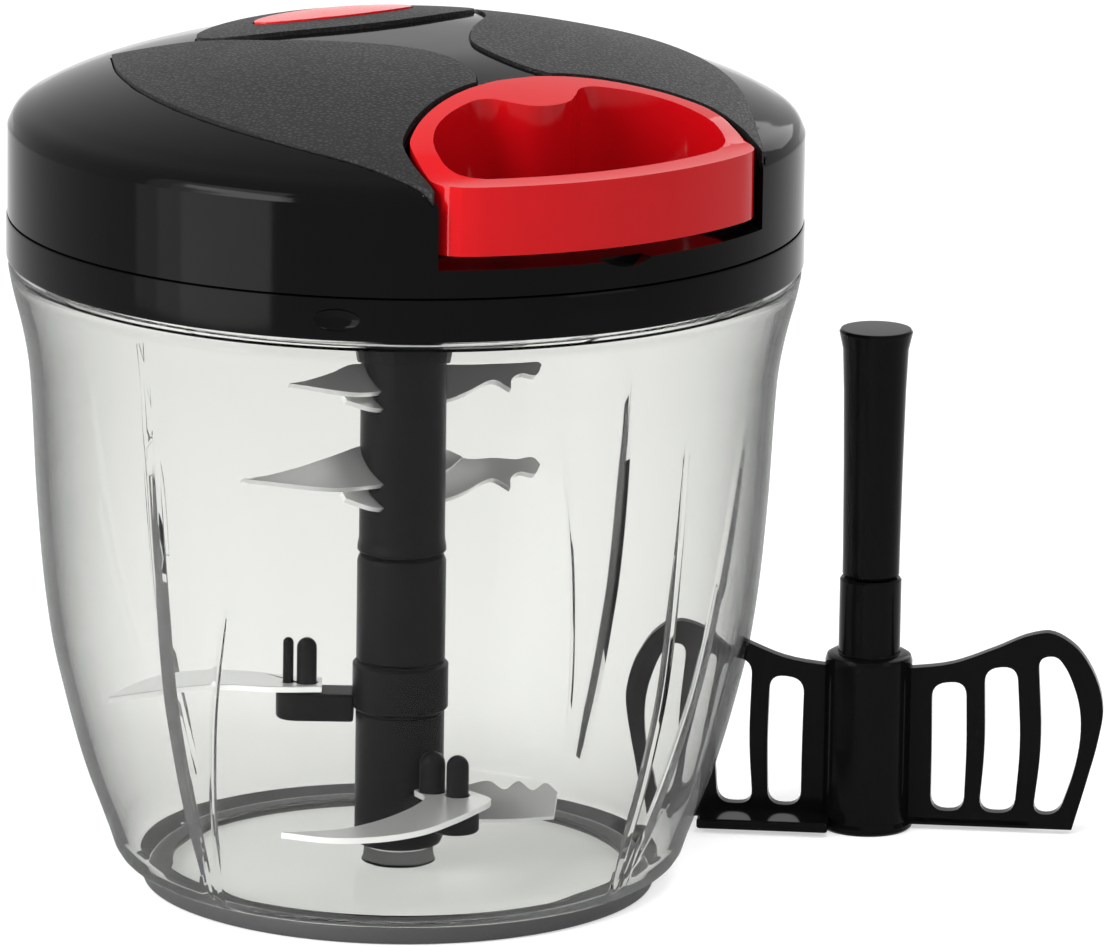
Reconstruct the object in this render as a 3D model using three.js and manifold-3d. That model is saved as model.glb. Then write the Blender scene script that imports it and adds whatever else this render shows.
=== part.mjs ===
// Pull-cord vegetable chopper with a clear bowl, a tiered blade set and a mixing paddle beside it.
// Millimetres, +Z up. The origin is on the bowl's axis at table level and the cord pulls along -Y.

import * as THREE from 'three';
import { mergeVertices } from 'three/addons/utils/BufferGeometryUtils.js';
import Module from 'manifold-3d';

const wasm = await Module();
wasm.setup();

// Driving sizes

const gap = 0.3; // running clearance between neighbours
const cut = 1; // how far a cutter runs past the face it opens
const fine = 0.2; // overlap that joins two shapes of one moulding

const lidRadius = 66.6; // outside of the lid's band
const bowlHeight = 110.8; // table to rim
const bandOverlap = 3.3; // how far the band reaches down past the rim
const bandHeight = 7.1;
const sideHeight = 14.9; // housing's upright side
const domeRise = 15.1;
const bandBottom = bowlHeight - bandOverlap;
const seamHeight = bandBottom + bandHeight;
const domeHeight = seamHeight + sideHeight + domeRise;
const lidSegments = 36; // facets round the lid

const seal = {
  width: 3.6,
  thickness: 1.5,
};

// Heights of what stands on the base's disc, of the dog under it and of the spring case under the dome
const drive = {
  disc: 2,
  plateStep: 1,
  plate: 1.6,
  pawl: 5,
  pawlRoom: 3.7,
  flange: 1.4,
  play: 0.4,
  caseDrop: 8.2,
  dogDrop: 3.8,
  dogHeight: 15.2,
  dogRoom: 3.6,
};

const discBottom = bowlHeight + gap + seal.thickness + gap;
const discTop = discBottom + drive.disc;
const plateBottom = discTop + drive.plateStep;
const plateTop = plateBottom + drive.plate;
const lowerFlangeBottom = plateTop + drive.pawl + drive.pawlRoom;
const casePlateBottom = domeHeight - drive.caseDrop;
const upperFlangeBottom = casePlateBottom - drive.flange - drive.play;
const dogTop = bowlHeight - drive.dogDrop;
const shaftTop = dogTop - drive.dogHeight;
const socketBottom = shaftTop + gap;
const webBottom = dogTop + drive.dogRoom;

// Helpers

function material(color, roughness, metalness = 0, extra = {}) {
  return new THREE.MeshStandardMaterial({ color, roughness, metalness, ...extra });
}

function solid(geometry) {
  const bare = geometry.clone();
  for (const name of Object.keys(bare.attributes)) {
    if (name !== 'position') bare.deleteAttribute(name);
  }
  const merged = mergeVertices(bare, 1e-4);
  const index = merged.index.array;
  const place = merged.attributes.position;
  const triangles = [];
  for (let i = 0; i < index.length; i += 3) {
    const [p, q, r] = [index[i], index[i + 1], index[i + 2]];
    if (p !== q && q !== r && r !== p) triangles.push(p, q, r);
  }
  return new wasm.Manifold(new wasm.Mesh({
    numProp: 3,
    vertProperties: new Float32Array(place.array),
    triVerts: new Uint32Array(triangles),
  }));
}

function geometryOf(manifold) {
  const mesh = manifold.getMesh();
  const geometry = new THREE.BufferGeometry();
  geometry.setAttribute('position', new THREE.BufferAttribute(new Float32Array(mesh.vertProperties), 3));
  geometry.setIndex(new THREE.BufferAttribute(new Uint32Array(mesh.triVerts), 1));
  geometry.computeVertexNormals();
  return geometry;
}

function named(name, manifold, finish) {
  const mesh = new THREE.Mesh(geometryOf(manifold), finish);
  mesh.name = name;
  return mesh;
}

function radians(degrees) {
  return degrees * Math.PI / 180;
}

// A closed turning about Z from [radius, height] pairs, listed up the outside and down the inside.
function turned(profile, segments = 24) {
  const points = profile.map(([r, z]) => new THREE.Vector2(r, z));
  points.push(points[0].clone());
  const geometry = new THREE.LatheGeometry(points, segments);
  geometry.rotateX(Math.PI / 2);
  return solid(geometry);
}

// A turning whose profile starts and ends on the axis, listed from the bottom up.
function turnedCore(profile, segments = 24) {
  const points = [[0, profile[0][1]], ...profile, [0, profile.at(-1)[1]]];
  const geometry = new THREE.LatheGeometry(points.map(([r, z]) => new THREE.Vector2(r, z)), segments);
  geometry.rotateX(Math.PI / 2);
  return solid(geometry);
}

function cylinder(radius, bottom, top, segments = 24, x = 0, y = 0) {
  const geometry = new THREE.CylinderGeometry(radius, radius, top - bottom, segments);
  geometry.rotateX(Math.PI / 2);
  geometry.translate(x, y, (top + bottom) / 2);
  return solid(geometry);
}

function tube(outer, inner, bottom, top, segments = 32) {
  return turned([[outer, bottom], [outer, top], [inner, top], [inner, bottom]], segments);
}

function box(x0, x1, y0, y1, z0, z1) {
  const geometry = new THREE.BoxGeometry(x1 - x0, y1 - y0, z1 - z0);
  geometry.translate((x0 + x1) / 2, (y0 + y1) / 2, (z0 + z1) / 2);
  return solid(geometry);
}

function extruded(shape, bottom, top, curveSegments = 12) {
  const geometry = new THREE.ExtrudeGeometry(shape, {
    depth: top - bottom, bevelEnabled: false, curveSegments,
  });
  geometry.translate(0, 0, bottom);
  return solid(geometry);
}

function turnedAbout(manifold, degrees) {
  return manifold.rotate([0, 0, degrees]);
}

function outline(points) {
  return new THREE.Shape(points.map(([x, y]) => new THREE.Vector2(x, y)));
}

// Points of a smooth closed line through the given corners.
function smoothed(points, count) {
  const curve = new THREE.CatmullRomCurve3(
    points.map(([x, y]) => new THREE.Vector3(x, y, 0)), true, 'centripetal',
  );
  return curve.getPoints(count).slice(0, -1).map((p) => [p.x, p.y]);
}

function mirrored(points) {
  return points.map(([x, y]) => [-x, y]).reverse();
}

// Closed outline moved outwards by a distance, for clearances and walls around it.
function grown(points, distance) {
  const count = points.length;
  const result = [];
  let area = 0;
  for (let i = 0; i < count; i += 1) {
    const [x0, y0] = points[i];
    const [x1, y1] = points[(i + 1) % count];
    area += x0 * y1 - x1 * y0;
  }
  const side = Math.sign(area);
  for (let i = 0; i < count; i += 1) {
    const before = points[(i + count - 1) % count];
    const here = points[i];
    const after = points[(i + 1) % count];
    const first = new THREE.Vector2(here[0] - before[0], here[1] - before[1]).normalize();
    const second = new THREE.Vector2(after[0] - here[0], after[1] - here[1]).normalize();
    const normal = new THREE.Vector2(first.y + second.y, -first.x - second.x).normalize();
    const spread = Math.max(0.5, normal.x * first.y - normal.y * first.x);
    result.push([here[0] + normal.x * distance * side / spread, here[1] + normal.y * distance * side / spread]);
  }
  return result;
}

const glossBlack = material(0x161616, 0.15);
const mattBlack = material(0x333333, 0.6);
const red = material(0xd80f18, 0.2);
const clear = material(0xe3e5de, 0.05, 0, { transparent: true, opacity: 0.35 });
const rubber = material(0x3a3a3a, 0.85);
const steel = material(0xc8c8c8, 0.25, 1);
const nylon = material(0xd9d9d2, 0.5);

// Bowl: a fluted clear wall with a stepped neck, locking lugs and a moulded centre pin

const neckHeight = 4;
const neckStep = 4.3;
const bowlInset = 0.4; // the bowl stands in from the band by this

const bowl = {
  wall: 2.2,
  floorBottom: 1,
  floorTop: 3.4,
  footRadius: 0.6556 * (lidRadius - bowlInset),
  seatHeight: 3.3,
  shoulderHeight: bowlHeight - neckHeight,
  shoulderRadius: lidRadius - bowlInset,
  neckRadius: lidRadius - bowlInset - neckStep,
  // outer radius and height up the wall, as shares of the shoulder's
  wallShares: [
    [0.713, 0.042], [0.765, 0.122], [0.802, 0.187], [0.857, 0.318], [0.902, 0.449], [0.923, 0.58],
    [0.935, 0.711], [0.945, 0.805], [0.958, 0.871], [0.983, 0.934], [0.994, 0.965],
  ],
  fluteCount: 4,
  fluteStart: -164,
  fluteDepth: 1.3,
  fluteHalfAngle: 4.5,
  fluteFoot: 6,
  fluteTop: 86,
  pinRadius: 3,
  pinTop: 21,
  pinBossRadius: 6,
  lugCount: 4,
  lugAngle: 12,
  lugDrop: 0.5,
  lugThickness: 1.4,
  lugReach: 2,
};

function fluteDepthAt(height, angle) {
  const span = 360 / bowl.fluteCount;
  let offset = (angle - bowl.fluteStart) % span;
  if (offset > span / 2) offset -= span;
  if (offset < -span / 2) offset += span;
  const across = Math.max(0, 1 - Math.abs(offset) / bowl.fluteHalfAngle);
  const rise = (height - bowl.fluteFoot) / (bowl.fluteTop - bowl.fluteFoot);
  if (rise <= 0 || rise >= 1) return 0;
  return bowl.fluteDepth * across * Math.min(1, 3 * (1 - rise), 8 * rise);
}

function bowlAngles() {
  const span = 360 / bowl.fluteCount;
  const inFlute = [-1, -0.4, 0.4, 1].map((share) => share * bowl.fluteHalfAngle);
  const plain = [];
  const steps = 5;
  for (let i = 0; i <= steps; i += 1) {
    plain.push(bowl.fluteHalfAngle * 1.6 + (span - 3.2 * bowl.fluteHalfAngle) * i / steps);
  }
  const angles = [];
  for (let k = 0; k < bowl.fluteCount; k += 1) {
    for (const a of [...inFlute, ...plain]) angles.push(bowl.fluteStart + k * span + a);
  }
  return angles;
}

function bowlShell() {
  const outer = bowl.wallShares.map(([r, z]) => [r * bowl.shoulderRadius, z * bowl.shoulderHeight]);
  const rings = [
    [bowl.footRadius, bowl.seatHeight],
    ...outer,
    [bowl.shoulderRadius, bowl.shoulderHeight - bowl.wall / 2],
    [bowl.shoulderRadius, bowl.shoulderHeight],
    [bowl.neckRadius, bowl.shoulderHeight],
    [bowl.neckRadius, bowlHeight],
    [bowl.neckRadius - bowl.wall, bowlHeight],
    [bowl.neckRadius - bowl.wall, bowl.shoulderHeight - bowl.wall],
  ];
  const inner = outer.filter((point, i) => i % 2 === 1 || i === outer.length - 1)
    .map(([r, z]) => [r - bowl.wall, z]).reverse();
  for (const [r, z] of inner) {
    if (z < bowl.shoulderHeight - 3 * bowl.wall / 2) rings.push([r, z]);
  }
  const cornerRadius = inner.at(-1)[0];
  rings.push([cornerRadius - bowl.wall, bowl.floorTop + bowl.wall / 2]);
  rings.push([cornerRadius - 2 * bowl.wall, bowl.floorTop]);
  const angles = bowlAngles();
  const positions = [0, 0, bowl.floorBottom];
  const seat = [[bowl.footRadius - footRing.width - gap, bowl.floorBottom],
    [bowl.footRadius - footRing.width - gap, bowl.seatHeight]];
  const all = [...seat, ...rings];
  for (const [r, z] of all) {
    for (const angle of angles) {
      const radius = r > bowl.footRadius ? r - fluteDepthAt(z, angle) : r;
      positions.push(radius * Math.cos(radians(angle)), radius * Math.sin(radians(angle)), z);
    }
  }
  positions.push(0, 0, bowl.floorTop);
  const count = angles.length;
  const index = [];
  for (let j = 0; j < count; j += 1) index.push(0, 1 + (j + 1) % count, 1 + j);
  for (let i = 0; i + 1 < all.length; i += 1) {
    for (let j = 0; j < count; j += 1) {
      const a = 1 + i * count + j;
      const b = 1 + i * count + (j + 1) % count;
      index.push(a, b, b + count, a, b + count, a + count);
    }
  }
  const last = 1 + (all.length - 1) * count;
  const top = last + count;
  for (let j = 0; j < count; j += 1) index.push(last + j, last + (j + 1) % count, top);
  const geometry = new THREE.BufferGeometry();
  geometry.setAttribute('position', new THREE.Float32BufferAttribute(positions, 3));
  geometry.setIndex(index);
  return solid(geometry);
}

function sector(inner, outer, centre, width, bottom, top) {
  const shape = new THREE.Shape();
  const from = radians(centre - width / 2);
  const to = radians(centre + width / 2);
  shape.absarc(0, 0, outer, from, to, false);
  shape.absarc(0, 0, inner, to, from, true);
  return extruded(shape, bottom, top, 4);
}

const footRing = {
  width: 4.8,
  height: 3,
  edge: 0.6,
};

function makeBowl() {
  let body = bowlShell();
  const bossTop = shaft.bottom - gap;
  body = body.add(turnedCore([
    [bowl.pinBossRadius, bowl.floorTop - fine], [bowl.pinBossRadius - gap, bossTop],
  ], 24));
  body = body.add(turnedCore([
    [bowl.pinRadius, bossTop - fine], [bowl.pinRadius, bowl.pinTop - bowl.pinRadius / 2],
    [bowl.pinRadius / 2, bowl.pinTop],
  ], 24));
  const lugTop = bowlHeight - bowl.lugDrop;
  for (let k = 0; k < bowl.lugCount; k += 1) {
    body = body.add(sector(
      bowl.neckRadius - fine, bowl.neckRadius + bowl.lugReach, lugPlace(k), bowl.lugAngle, lugBottom(), lugTop,
    ));
  }
  return named('bowl', body, clear);
}

function lugBottom() {
  return bowlHeight - bowl.lugDrop - bowl.lugThickness;
}

function lugPlace(k) {
  return (k + 0.5) * 360 / bowl.lugCount;
}

function makeFootRing() {
  const outer = bowl.footRadius;
  const inner = outer - footRing.width;
  const e = footRing.edge;
  return named('foot_ring', turned([
    [outer - e, 0], [outer, e], [outer, footRing.height - e / 2], [outer - e / 2, footRing.height],
    [inner, footRing.height], [inner, e / 2], [inner + e / 2, 0],
  ], lidSegments), rubber);
}

// Seal between rim and lid

function makeSeal() {
  const outer = bowl.neckRadius + seal.width / 4;
  const bottom = bowlHeight + gap;
  const top = bottom + seal.thickness;
  return named('lid_seal', turned([
    [outer, bottom], [outer, top], [outer - seal.width, top], [outer - seal.width, bottom],
  ], lidSegments), rubber);
}

// Lid base: the band, a disc over the bowl, posts for the spring case and a bearing tube

const base = {
  skirtWall: 2.2,
  lugPlay: 0.4,
  lugHeight: 1.1,
  bearingWall: 2.4,
  bearingDrop: 4,
  postRadius: 3,
  postCircle: 28.6,
  postHoleRadius: 1.1,
  screwBossRadius: 3.6,
  screwBossInset: 11.6,
  screwBossAngles: [35, 145, 205, 335],
  ribThickness: 1.4,
  dimpleAngle: -132.6,
  dimpleHalfWidth: 4,
  dimpleHalfHeight: 1.9,
  dimpleDepth: 1,
};

// The ribs and screw bosses end just under the pocket's floor.
function ribTop() {
  return pocket.floor - pocket.floorThickness - gap;
}

function makeLidBase() {
  const skirtInner = lidRadius - base.skirtWall;
  const edge = gap;
  const bearingOuter = hub.journalRadius + gap + base.bearingWall + bush.wall;
  const bearingInner = hub.journalRadius + gap + bush.wall + gap;
  let body = turned([
    [lidRadius - edge, bandBottom], [lidRadius, bandBottom + edge], [lidRadius, seamHeight - edge],
    [lidRadius - edge, seamHeight], [skirtInner - base.ribThickness, seamHeight],
    [skirtInner - base.ribThickness, ribTop()], [skirtInner - 2 * base.ribThickness, ribTop()],
    [skirtInner - 2 * base.ribThickness, discTop], [bearingOuter, discTop], [bearingOuter, discTop + drive.disc / 4],
    [bearingInner, discTop + drive.disc / 4], [bearingInner, discBottom - base.bearingDrop],
    [bearingOuter, discBottom - base.bearingDrop], [bearingOuter, discBottom],
    [skirtInner, discBottom], [skirtInner, bandBottom],
  ], lidSegments);
  for (let k = 0; k < bowl.lugCount; k += 1) {
    const top = lugBottom() - gap;
    body = body.add(sector(bowl.neckRadius + base.lugPlay, skirtInner + fine, lugPlace(k), bowl.lugAngle, top - base.lugHeight, top));
  }
  for (const [x, y] of postPlaces()) {
    body = body.add(cylinder(base.postRadius, discTop - fine, casePlateBottom - gap, 12, x, y));
    body = body.subtract(cylinder(base.postHoleRadius + gap, casePlateBottom - screw.length, casePlateBottom, 8, x, y));
  }
  for (const [x, y] of bossPlaces()) {
    body = body.add(cylinder(base.screwBossRadius, discTop - fine, ribTop(), 12, x, y));
    body = body.subtract(cylinder(screw.radius + gap, discBottom - cut, ribTop() + cut, 8, x, y));
    body = body.subtract(cylinder(screw.headRadius + gap, discBottom - cut, discBottom + screw.headHeight + gap, 12, x, y));
  }
  const dimple = new THREE.SphereGeometry(1, 12, 6);
  dimple.scale(base.dimpleDepth, base.dimpleHalfWidth, base.dimpleHalfHeight);
  dimple.translate(lidRadius, 0, (bandBottom + seamHeight) / 2);
  body = body.subtract(turnedAbout(solid(dimple), base.dimpleAngle));
  return named('lid_base', body, glossBlack);
}

function postPlaces() {
  return [90, 210, 330].map((a) => [base.postCircle * Math.cos(radians(a)), base.postCircle * Math.sin(radians(a))]);
}

function bossPlaces() {
  const circle = lidRadius - base.screwBossInset;
  return base.screwBossAngles.map((a) => [
    circle * Math.cos(radians(a)), circle * Math.sin(radians(a)),
  ]);
}

const screw = {
  radius: 1.2,
  headRadius: 2.4,
  headHeight: 1.2,
  length: 9,
};

// Housing: gloss dome with a pocket for the handle and shallow beds for the panels and cap

const housing = {
  radius: lidRadius - fine,
  wall: 2.2,
  shoulder: seamHeight + sideHeight,
  // shares of the radius, and of the height between shoulder and dome top
  domeShares: [[1, 0], [0.985, 0.13], [0.93, 0.29], [0.86, 0.43], [0.76, 0.58], [0.64, 0.73], [0.5, 0.87],
    [0.32, 0.97], [0, 1]],
  panelBed: 1.2,
  spindleBossRadius: 4.6,
  spindleBossDrop: 2,
  screwPostRadius: 3.4,
};

const pocketStep = 4.8;

const pocket = {
  floor: seamHeight + pocketStep,
  floorThickness: 1.8,
  clearance: 0.9,
  wall: 1.8,
  notchRadius: 9,
  notchDepth: 1.2,
};

const handle = {
  lift: 2.3,
  halfWidth: 0.464 * housing.radius,
  ring: 3.8,
  frontBar: 4.2,
  frontRise: 3.5,
  proud: 0.5,
  faceRadius: housing.radius + fine / 2,
  cornerRound: 4.5,
  // half of the plan outline behind the front face, from the side to the middle, as shares of the half width
  sideShares: [
    [1, -1.72], [0.985, -1.6], [0.94, -1.47], [0.86, -1.383], [0.685, -1.25], [0.493, -1.149],
    [0.325, -1.09], [0.12, -1.047],
  ],
  holeShares: [
    [0.87, -1.67], [0.844, -1.56], [0.757, -1.43], [0.656, -1.347], [0.48, -1.253], [0.35, -1.21], [0.2, -1.185],
  ],
  bossRadius: 6.5,
  bossCentreShare: -1.2,
  cordHoleRadius: 1.5,
  knotRadius: 2.2,
};

// A quarter of a rounded corner, as shares of its radius across and along.
const cornerShares = [[0.42, 0.3], [0.78, 0.66], [1, 1.25]];

const handleBottom = pocket.floor + handle.lift;
const bossCentre = handle.bossCentreShare * handle.halfWidth;

function domeProfile(offset) {
  const rise = domeHeight - housing.shoulder;
  return housing.domeShares.map(([r, h]) => {
    const radius = r * housing.radius;
    return [Math.max(0, radius + offset * r), housing.shoulder + h * rise + offset];
  });
}

function domeSolid(offset, bottom, segments = lidSegments) {
  const profile = domeProfile(offset).slice(0, -1).filter((point, i) => offset > -housing.wall || i % 2 === 0);
  const top = domeProfile(offset).at(-1)[1];
  return turnedCore([[housing.radius + offset, bottom], ...profile, [fine, top]], segments);
}

// Points along an arc about the axis that faces -Y, out to a half width on either side.
function faceArc(radius, half, steps) {
  const reach = Math.asin(half / radius);
  const points = [];
  for (let i = 0; i <= steps; i += 1) {
    const a = -Math.PI / 2 - reach + 2 * reach * i / steps;
    points.push([radius * Math.cos(a), radius * Math.sin(a)]);
  }
  return points;
}

// Half of a rounded corner where a face arc meets a straight side, from the arc to the side.
function roundedCorner(radius, half, round) {
  const start = -Math.sqrt(radius ** 2 - (half - round) ** 2);
  return cornerShares.map(([x, y]) => [half - round + round * x, start + round * y]);
}

function handleOuter() {
  const w = handle.halfWidth;
  const corner = roundedCorner(handle.faceRadius, w, handle.cornerRound);
  const side = [...corner, ...handle.sideShares.map(([x, y]) => [x * w, y * w])];
  return [...faceArc(handle.faceRadius, w - handle.cornerRound, 10), ...side, ...mirrored(side)];
}

function handleHole() {
  const w = handle.halfWidth;
  const radius = handle.faceRadius - handle.frontBar;
  const half = w - handle.ring;
  const corner = roundedCorner(radius, half, handle.cornerRound);
  const side = [...corner, ...handle.holeShares.map(([x, y]) => [x * w, y * w])];
  return [...faceArc(radius, half - handle.cornerRound, 8), ...side, ...mirrored(side)];
}

// The handle's top: level along the front bar, then the dome's own curve.
function handleTop() {
  const level = housing.shoulder + handle.frontRise;
  const rest = domeProfile(handle.proud).slice(3, -1);
  return turnedCore([
    [handle.faceRadius + cut, seamHeight], [handle.faceRadius + cut, level],
    [handle.faceRadius - handle.frontBar, level + handle.proud / 2], ...rest,
    [fine, domeHeight + handle.proud],
  ], lidSegments);
}

// Plan of the pocket: the handle's outline grown by its clearance and opened at the front.
function pocketOutline(extra) {
  const points = grown(handleOuter(), pocket.clearance + extra);
  const front = lidRadius * 1.2;
  return points.map(([x, y]) => (y < -lidRadius * 0.8 ? [x, -front] : [x, y]));
}

const panel = {
  proud: 0.6,
  thickness: 1.5,
  // left panel's outline, as shares of the lid's radius
  shares: [
    [-0.54, 0.53], [-0.66, 0.3], [-0.735, 0.02], [-0.73, -0.26], [-0.66, -0.5], [-0.58, -0.67],
    [-0.525, -0.775], [-0.488, -0.85], [-0.473, -0.853], [-0.465, -0.8], [-0.43, -0.69], [-0.3, -0.59],
    [-0.13, -0.51], [-0.078, -0.42], [-0.062, -0.3], [-0.08, -0.18], [-0.17, -0.03], [-0.32, 0.13], [-0.42, 0.33],
  ],
};

function panelOutline() {
  const points = panel.shares.map(([x, y]) => [x * lidRadius, y * lidRadius]);
  return smoothed(points, 34);
}

const cap = {
  centreShare: 0.33,
  halfLength: 26.5,
  halfWidth: 12.5,
  proud: 0.8,
  bed: 1.2,
};

const badge = {
  centreShare: 0.345,
  halfLength: 15.2,
  halfWidth: 6,
  depth: 0.9,
  proud: 0.3,
};

function ovalShape(halfLength, halfWidth, centre) {
  const shape = new THREE.Shape();
  shape.absellipse(0, centre, halfLength, halfWidth, 0, 2 * Math.PI, false, 0);
  return shape;
}

function makeHousing() {
  const innerRadius = housing.radius - housing.wall;
  const edge = seamHeight + gap;
  const skin = domeSolid(0, edge);
  const inside = domeSolid(-housing.wall, edge - cut);
  let body = skin.subtract(inside);
  const ceiling = domeHeight + cut;
  const block = extruded(outline(pocketOutline(pocket.wall)), pocket.floor - pocket.floorThickness, ceiling);
  body = body.add(block.intersect(domeSolid(-fine, edge)));
  body = body.subtract(extruded(outline(pocketOutline(0)), pocket.floor, ceiling));
  const notch = new THREE.CylinderGeometry(pocket.notchRadius, pocket.notchRadius, 2 * housing.wall, 24);
  notch.translate(0, -housing.radius, pocket.floor + pocket.notchRadius - pocket.notchDepth);
  body = body.subtract(solid(notch));
  const bedTop = domeHeight + cut;
  const bed = domeSolid(-housing.panelBed, edge);
  const left = grown(panelOutline(), gap);
  for (const side of [left, mirrored(left)]) {
    body = body.subtract(extruded(outline(side), housing.shoulder - housing.wall, bedTop).subtract(bed));
  }
  const capCut = extruded(ovalShape(cap.halfLength + gap, cap.halfWidth + gap, cap.centreShare * lidRadius), housing.shoulder, bedTop, 16);
  body = body.subtract(capCut.subtract(domeSolid(-cap.bed, edge)));
  const bossBottom = spindleTop - housing.spindleBossDrop;
  body = body.add(cylinder(housing.spindleBossRadius, bossBottom, domeHeight - housing.wall + fine, 24));
  body = body.subtract(cylinder(spindle.radius + gap, bossBottom - cut, spindleTop + gap, 20));
  for (const [x, y] of bossPlaces()) {
    const post = cylinder(housing.screwPostRadius, ribTop() + gap, domeHeight, 10, x, y);
    body = body.add(post.intersect(domeSolid(-housing.wall + fine, edge - cut)));
    const reach = discBottom + screw.headHeight + screw.length + gap;
    body = body.subtract(cylinder(screw.radius + gap, discTop, reach, 8, x, y));
  }
  const eyeletBore = new THREE.CylinderGeometry(eyelet.radius + gap, eyelet.radius + gap, 4 * pocket.wall, 20);
  eyeletBore.translate(0, pocketBack(), cordHeight());
  body = body.subtract(solid(eyeletBore));
  return named('lid_housing', body, glossBlack);
}

function makePanel(name, flip) {
  const points = flip ? mirrored(panelOutline()) : panelOutline();
  const layer = domeSolid(panel.proud, seamHeight).subtract(domeSolid(panel.proud - panel.thickness, seamHeight - cut));
  const piece = extruded(outline(points), housing.shoulder - housing.wall, domeHeight + 2 * cut);
  const opening = extruded(outline(pocketOutline(gap)), pocket.floor, domeHeight + 2 * cut);
  return named(name, piece.intersect(layer).subtract(opening), mattBlack);
}

function makeCap() {
  const piece = extruded(ovalShape(cap.halfLength, cap.halfWidth, cap.centreShare * lidRadius), housing.shoulder, domeHeight + 4 * cut, 16);
  let body = piece.intersect(domeSolid(cap.proud, seamHeight).subtract(domeSolid(gap - cap.bed, seamHeight - cut)));
  const bed = extruded(ovalShape(badge.halfLength + gap, badge.halfWidth + gap, badge.centreShare * lidRadius), housing.shoulder, domeHeight + 4 * cut, 12);
  body = body.subtract(bed.subtract(domeSolid(cap.proud - badge.depth, seamHeight)));
  return named('top_cap', body, mattBlack);
}

function makeBadge() {
  const piece = extruded(ovalShape(badge.halfLength, badge.halfWidth, badge.centreShare * lidRadius), housing.shoulder, domeHeight + 6 * cut, 12);
  const upper = domeSolid(cap.proud + badge.proud, seamHeight);
  const lower = domeSolid(cap.proud - badge.depth + gap, seamHeight - cut);
  return named('badge', piece.intersect(upper.subtract(lower)), red);
}

// Handle: a D ring whose top follows the dome, with a boss at the back that holds the cord's knot

function makeHandle() {
  const top = domeHeight + 2 * cut;
  const block = extruded(outline(handleOuter()), handleBottom, top);
  let body = block;
  body = body.subtract(extruded(outline(handleHole()), handleBottom - cut, top + cut));
  const boss = cylinder(handle.bossRadius, handleBottom, top, 24, 0, bossCentre);
  body = body.add(boss.intersect(block)).intersect(handleTop());
  const run = new THREE.CylinderGeometry(handle.cordHoleRadius, handle.cordHoleRadius, 3 * handle.bossRadius, 16);
  run.translate(0, bossCentre + 1.5 * handle.bossRadius, cordHeight());
  body = body.subtract(solid(run));
  const room = new THREE.SphereGeometry(handle.knotRadius + gap, 12, 8);
  room.translate(0, bossCentre, cordHeight());
  body = body.subtract(solid(room));
  return named('pull_handle', body, red);
}

function makeKnot() {
  const knot = new THREE.SphereGeometry(handle.knotRadius, 12, 8);
  knot.translate(0, bossCentre, cordHeight());
  const end = pocketBack() - pocket.wall / 2 - gap;
  const tail = new THREE.CylinderGeometry(cord.radius, cord.radius, end - bossCentre, 12);
  tail.translate(0, (end + bossCentre) / 2, cordHeight());
  return named('cord_knot', solid(knot).add(solid(tail)), mattBlack);
}

// Cord and its guide

const cord = {
  radius: 1,
  windingInner: 13.2,
  windingOuter: 19.4,
};

const eyelet = {
  radius: 2.6,
  flange: 3.8,
  flangeThickness: 0.8,
};

// The cord runs level with the middle of its winding.
function cordHeight() {
  return (lowerFlangeBottom + drive.flange + upperFlangeBottom) / 2;
}

// The pocket's back face on the centre line.
function pocketBack() {
  const back = handle.halfWidth * handle.sideShares.at(-1)[1];
  return back + pocket.clearance + pocket.wall / 2;
}

function makeEyelet() {
  const rear = pocketBack() + pocket.wall / 2 + gap;
  const front = pocketBack() - pocket.wall / 2 + gap / 2;
  let geometry = new THREE.CylinderGeometry(eyelet.radius, eyelet.radius, rear - front + eyelet.flangeThickness / 2, 20);
  geometry.translate(0, (rear + front + eyelet.flangeThickness / 2) / 2, cordHeight());
  let body = solid(geometry);
  geometry = new THREE.CylinderGeometry(eyelet.flange, eyelet.flange, eyelet.flangeThickness, 20);
  geometry.translate(0, rear + eyelet.flangeThickness / 2, cordHeight());
  body = body.add(solid(geometry));
  geometry = new THREE.CylinderGeometry(cord.radius + gap, cord.radius + gap, 8 * eyelet.flange, 16);
  geometry.translate(0, pocketBack(), cordHeight());
  return named('cord_eyelet', body.subtract(solid(geometry)), steel);
}

function makeCordRun() {
  const rear = pocketBack() + pocket.wall / 2 + gap + eyelet.flangeThickness;
  const front = pocketBack() - pocket.wall / 2;
  const leave = radians(-44);
  const start = cord.windingOuter + cord.radius + gap;
  const points = [
    new THREE.Vector3(start * Math.cos(leave), start * Math.sin(leave), cordHeight()),
    new THREE.Vector3(3 * cord.radius, rear + 2.4 * cord.radius, cordHeight()),
    new THREE.Vector3(0, rear + cord.radius / 2, cordHeight()),
    new THREE.Vector3(0, front, cordHeight()),
  ];
  const path = new THREE.CatmullRomCurve3(points, false, 'centripetal');
  const section = new THREE.Shape();
  section.absarc(0, 0, cord.radius, 0, 2 * Math.PI, false);
  const geometry = new THREE.ExtrudeGeometry(section, { extrudePath: path, steps: 10, curveSegments: 4 });
  return named('cord_run', solid(geometry), mattBlack);
}

// Spool with its ratchet ring and spring arbor

const spool = {
  hubRadius: 12.6,
  flangeRadius: 22.4,
  ringRadius: 20.4,
  toothCount: 12,
  toothTip: 16.4,
  toothRoot: 18.4,
  arborRadius: 5,
};

const spindle = {
  radius: 2,
  headRadius: 4,
  headHeight: 1.6,
};

const spindleBottom = webBottom - 2 * gap - spindle.headHeight;
const spindleTop = domeHeight - housing.wall + fine;

function toothAngle(k) {
  return k * 360 / spool.toothCount;
}

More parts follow.
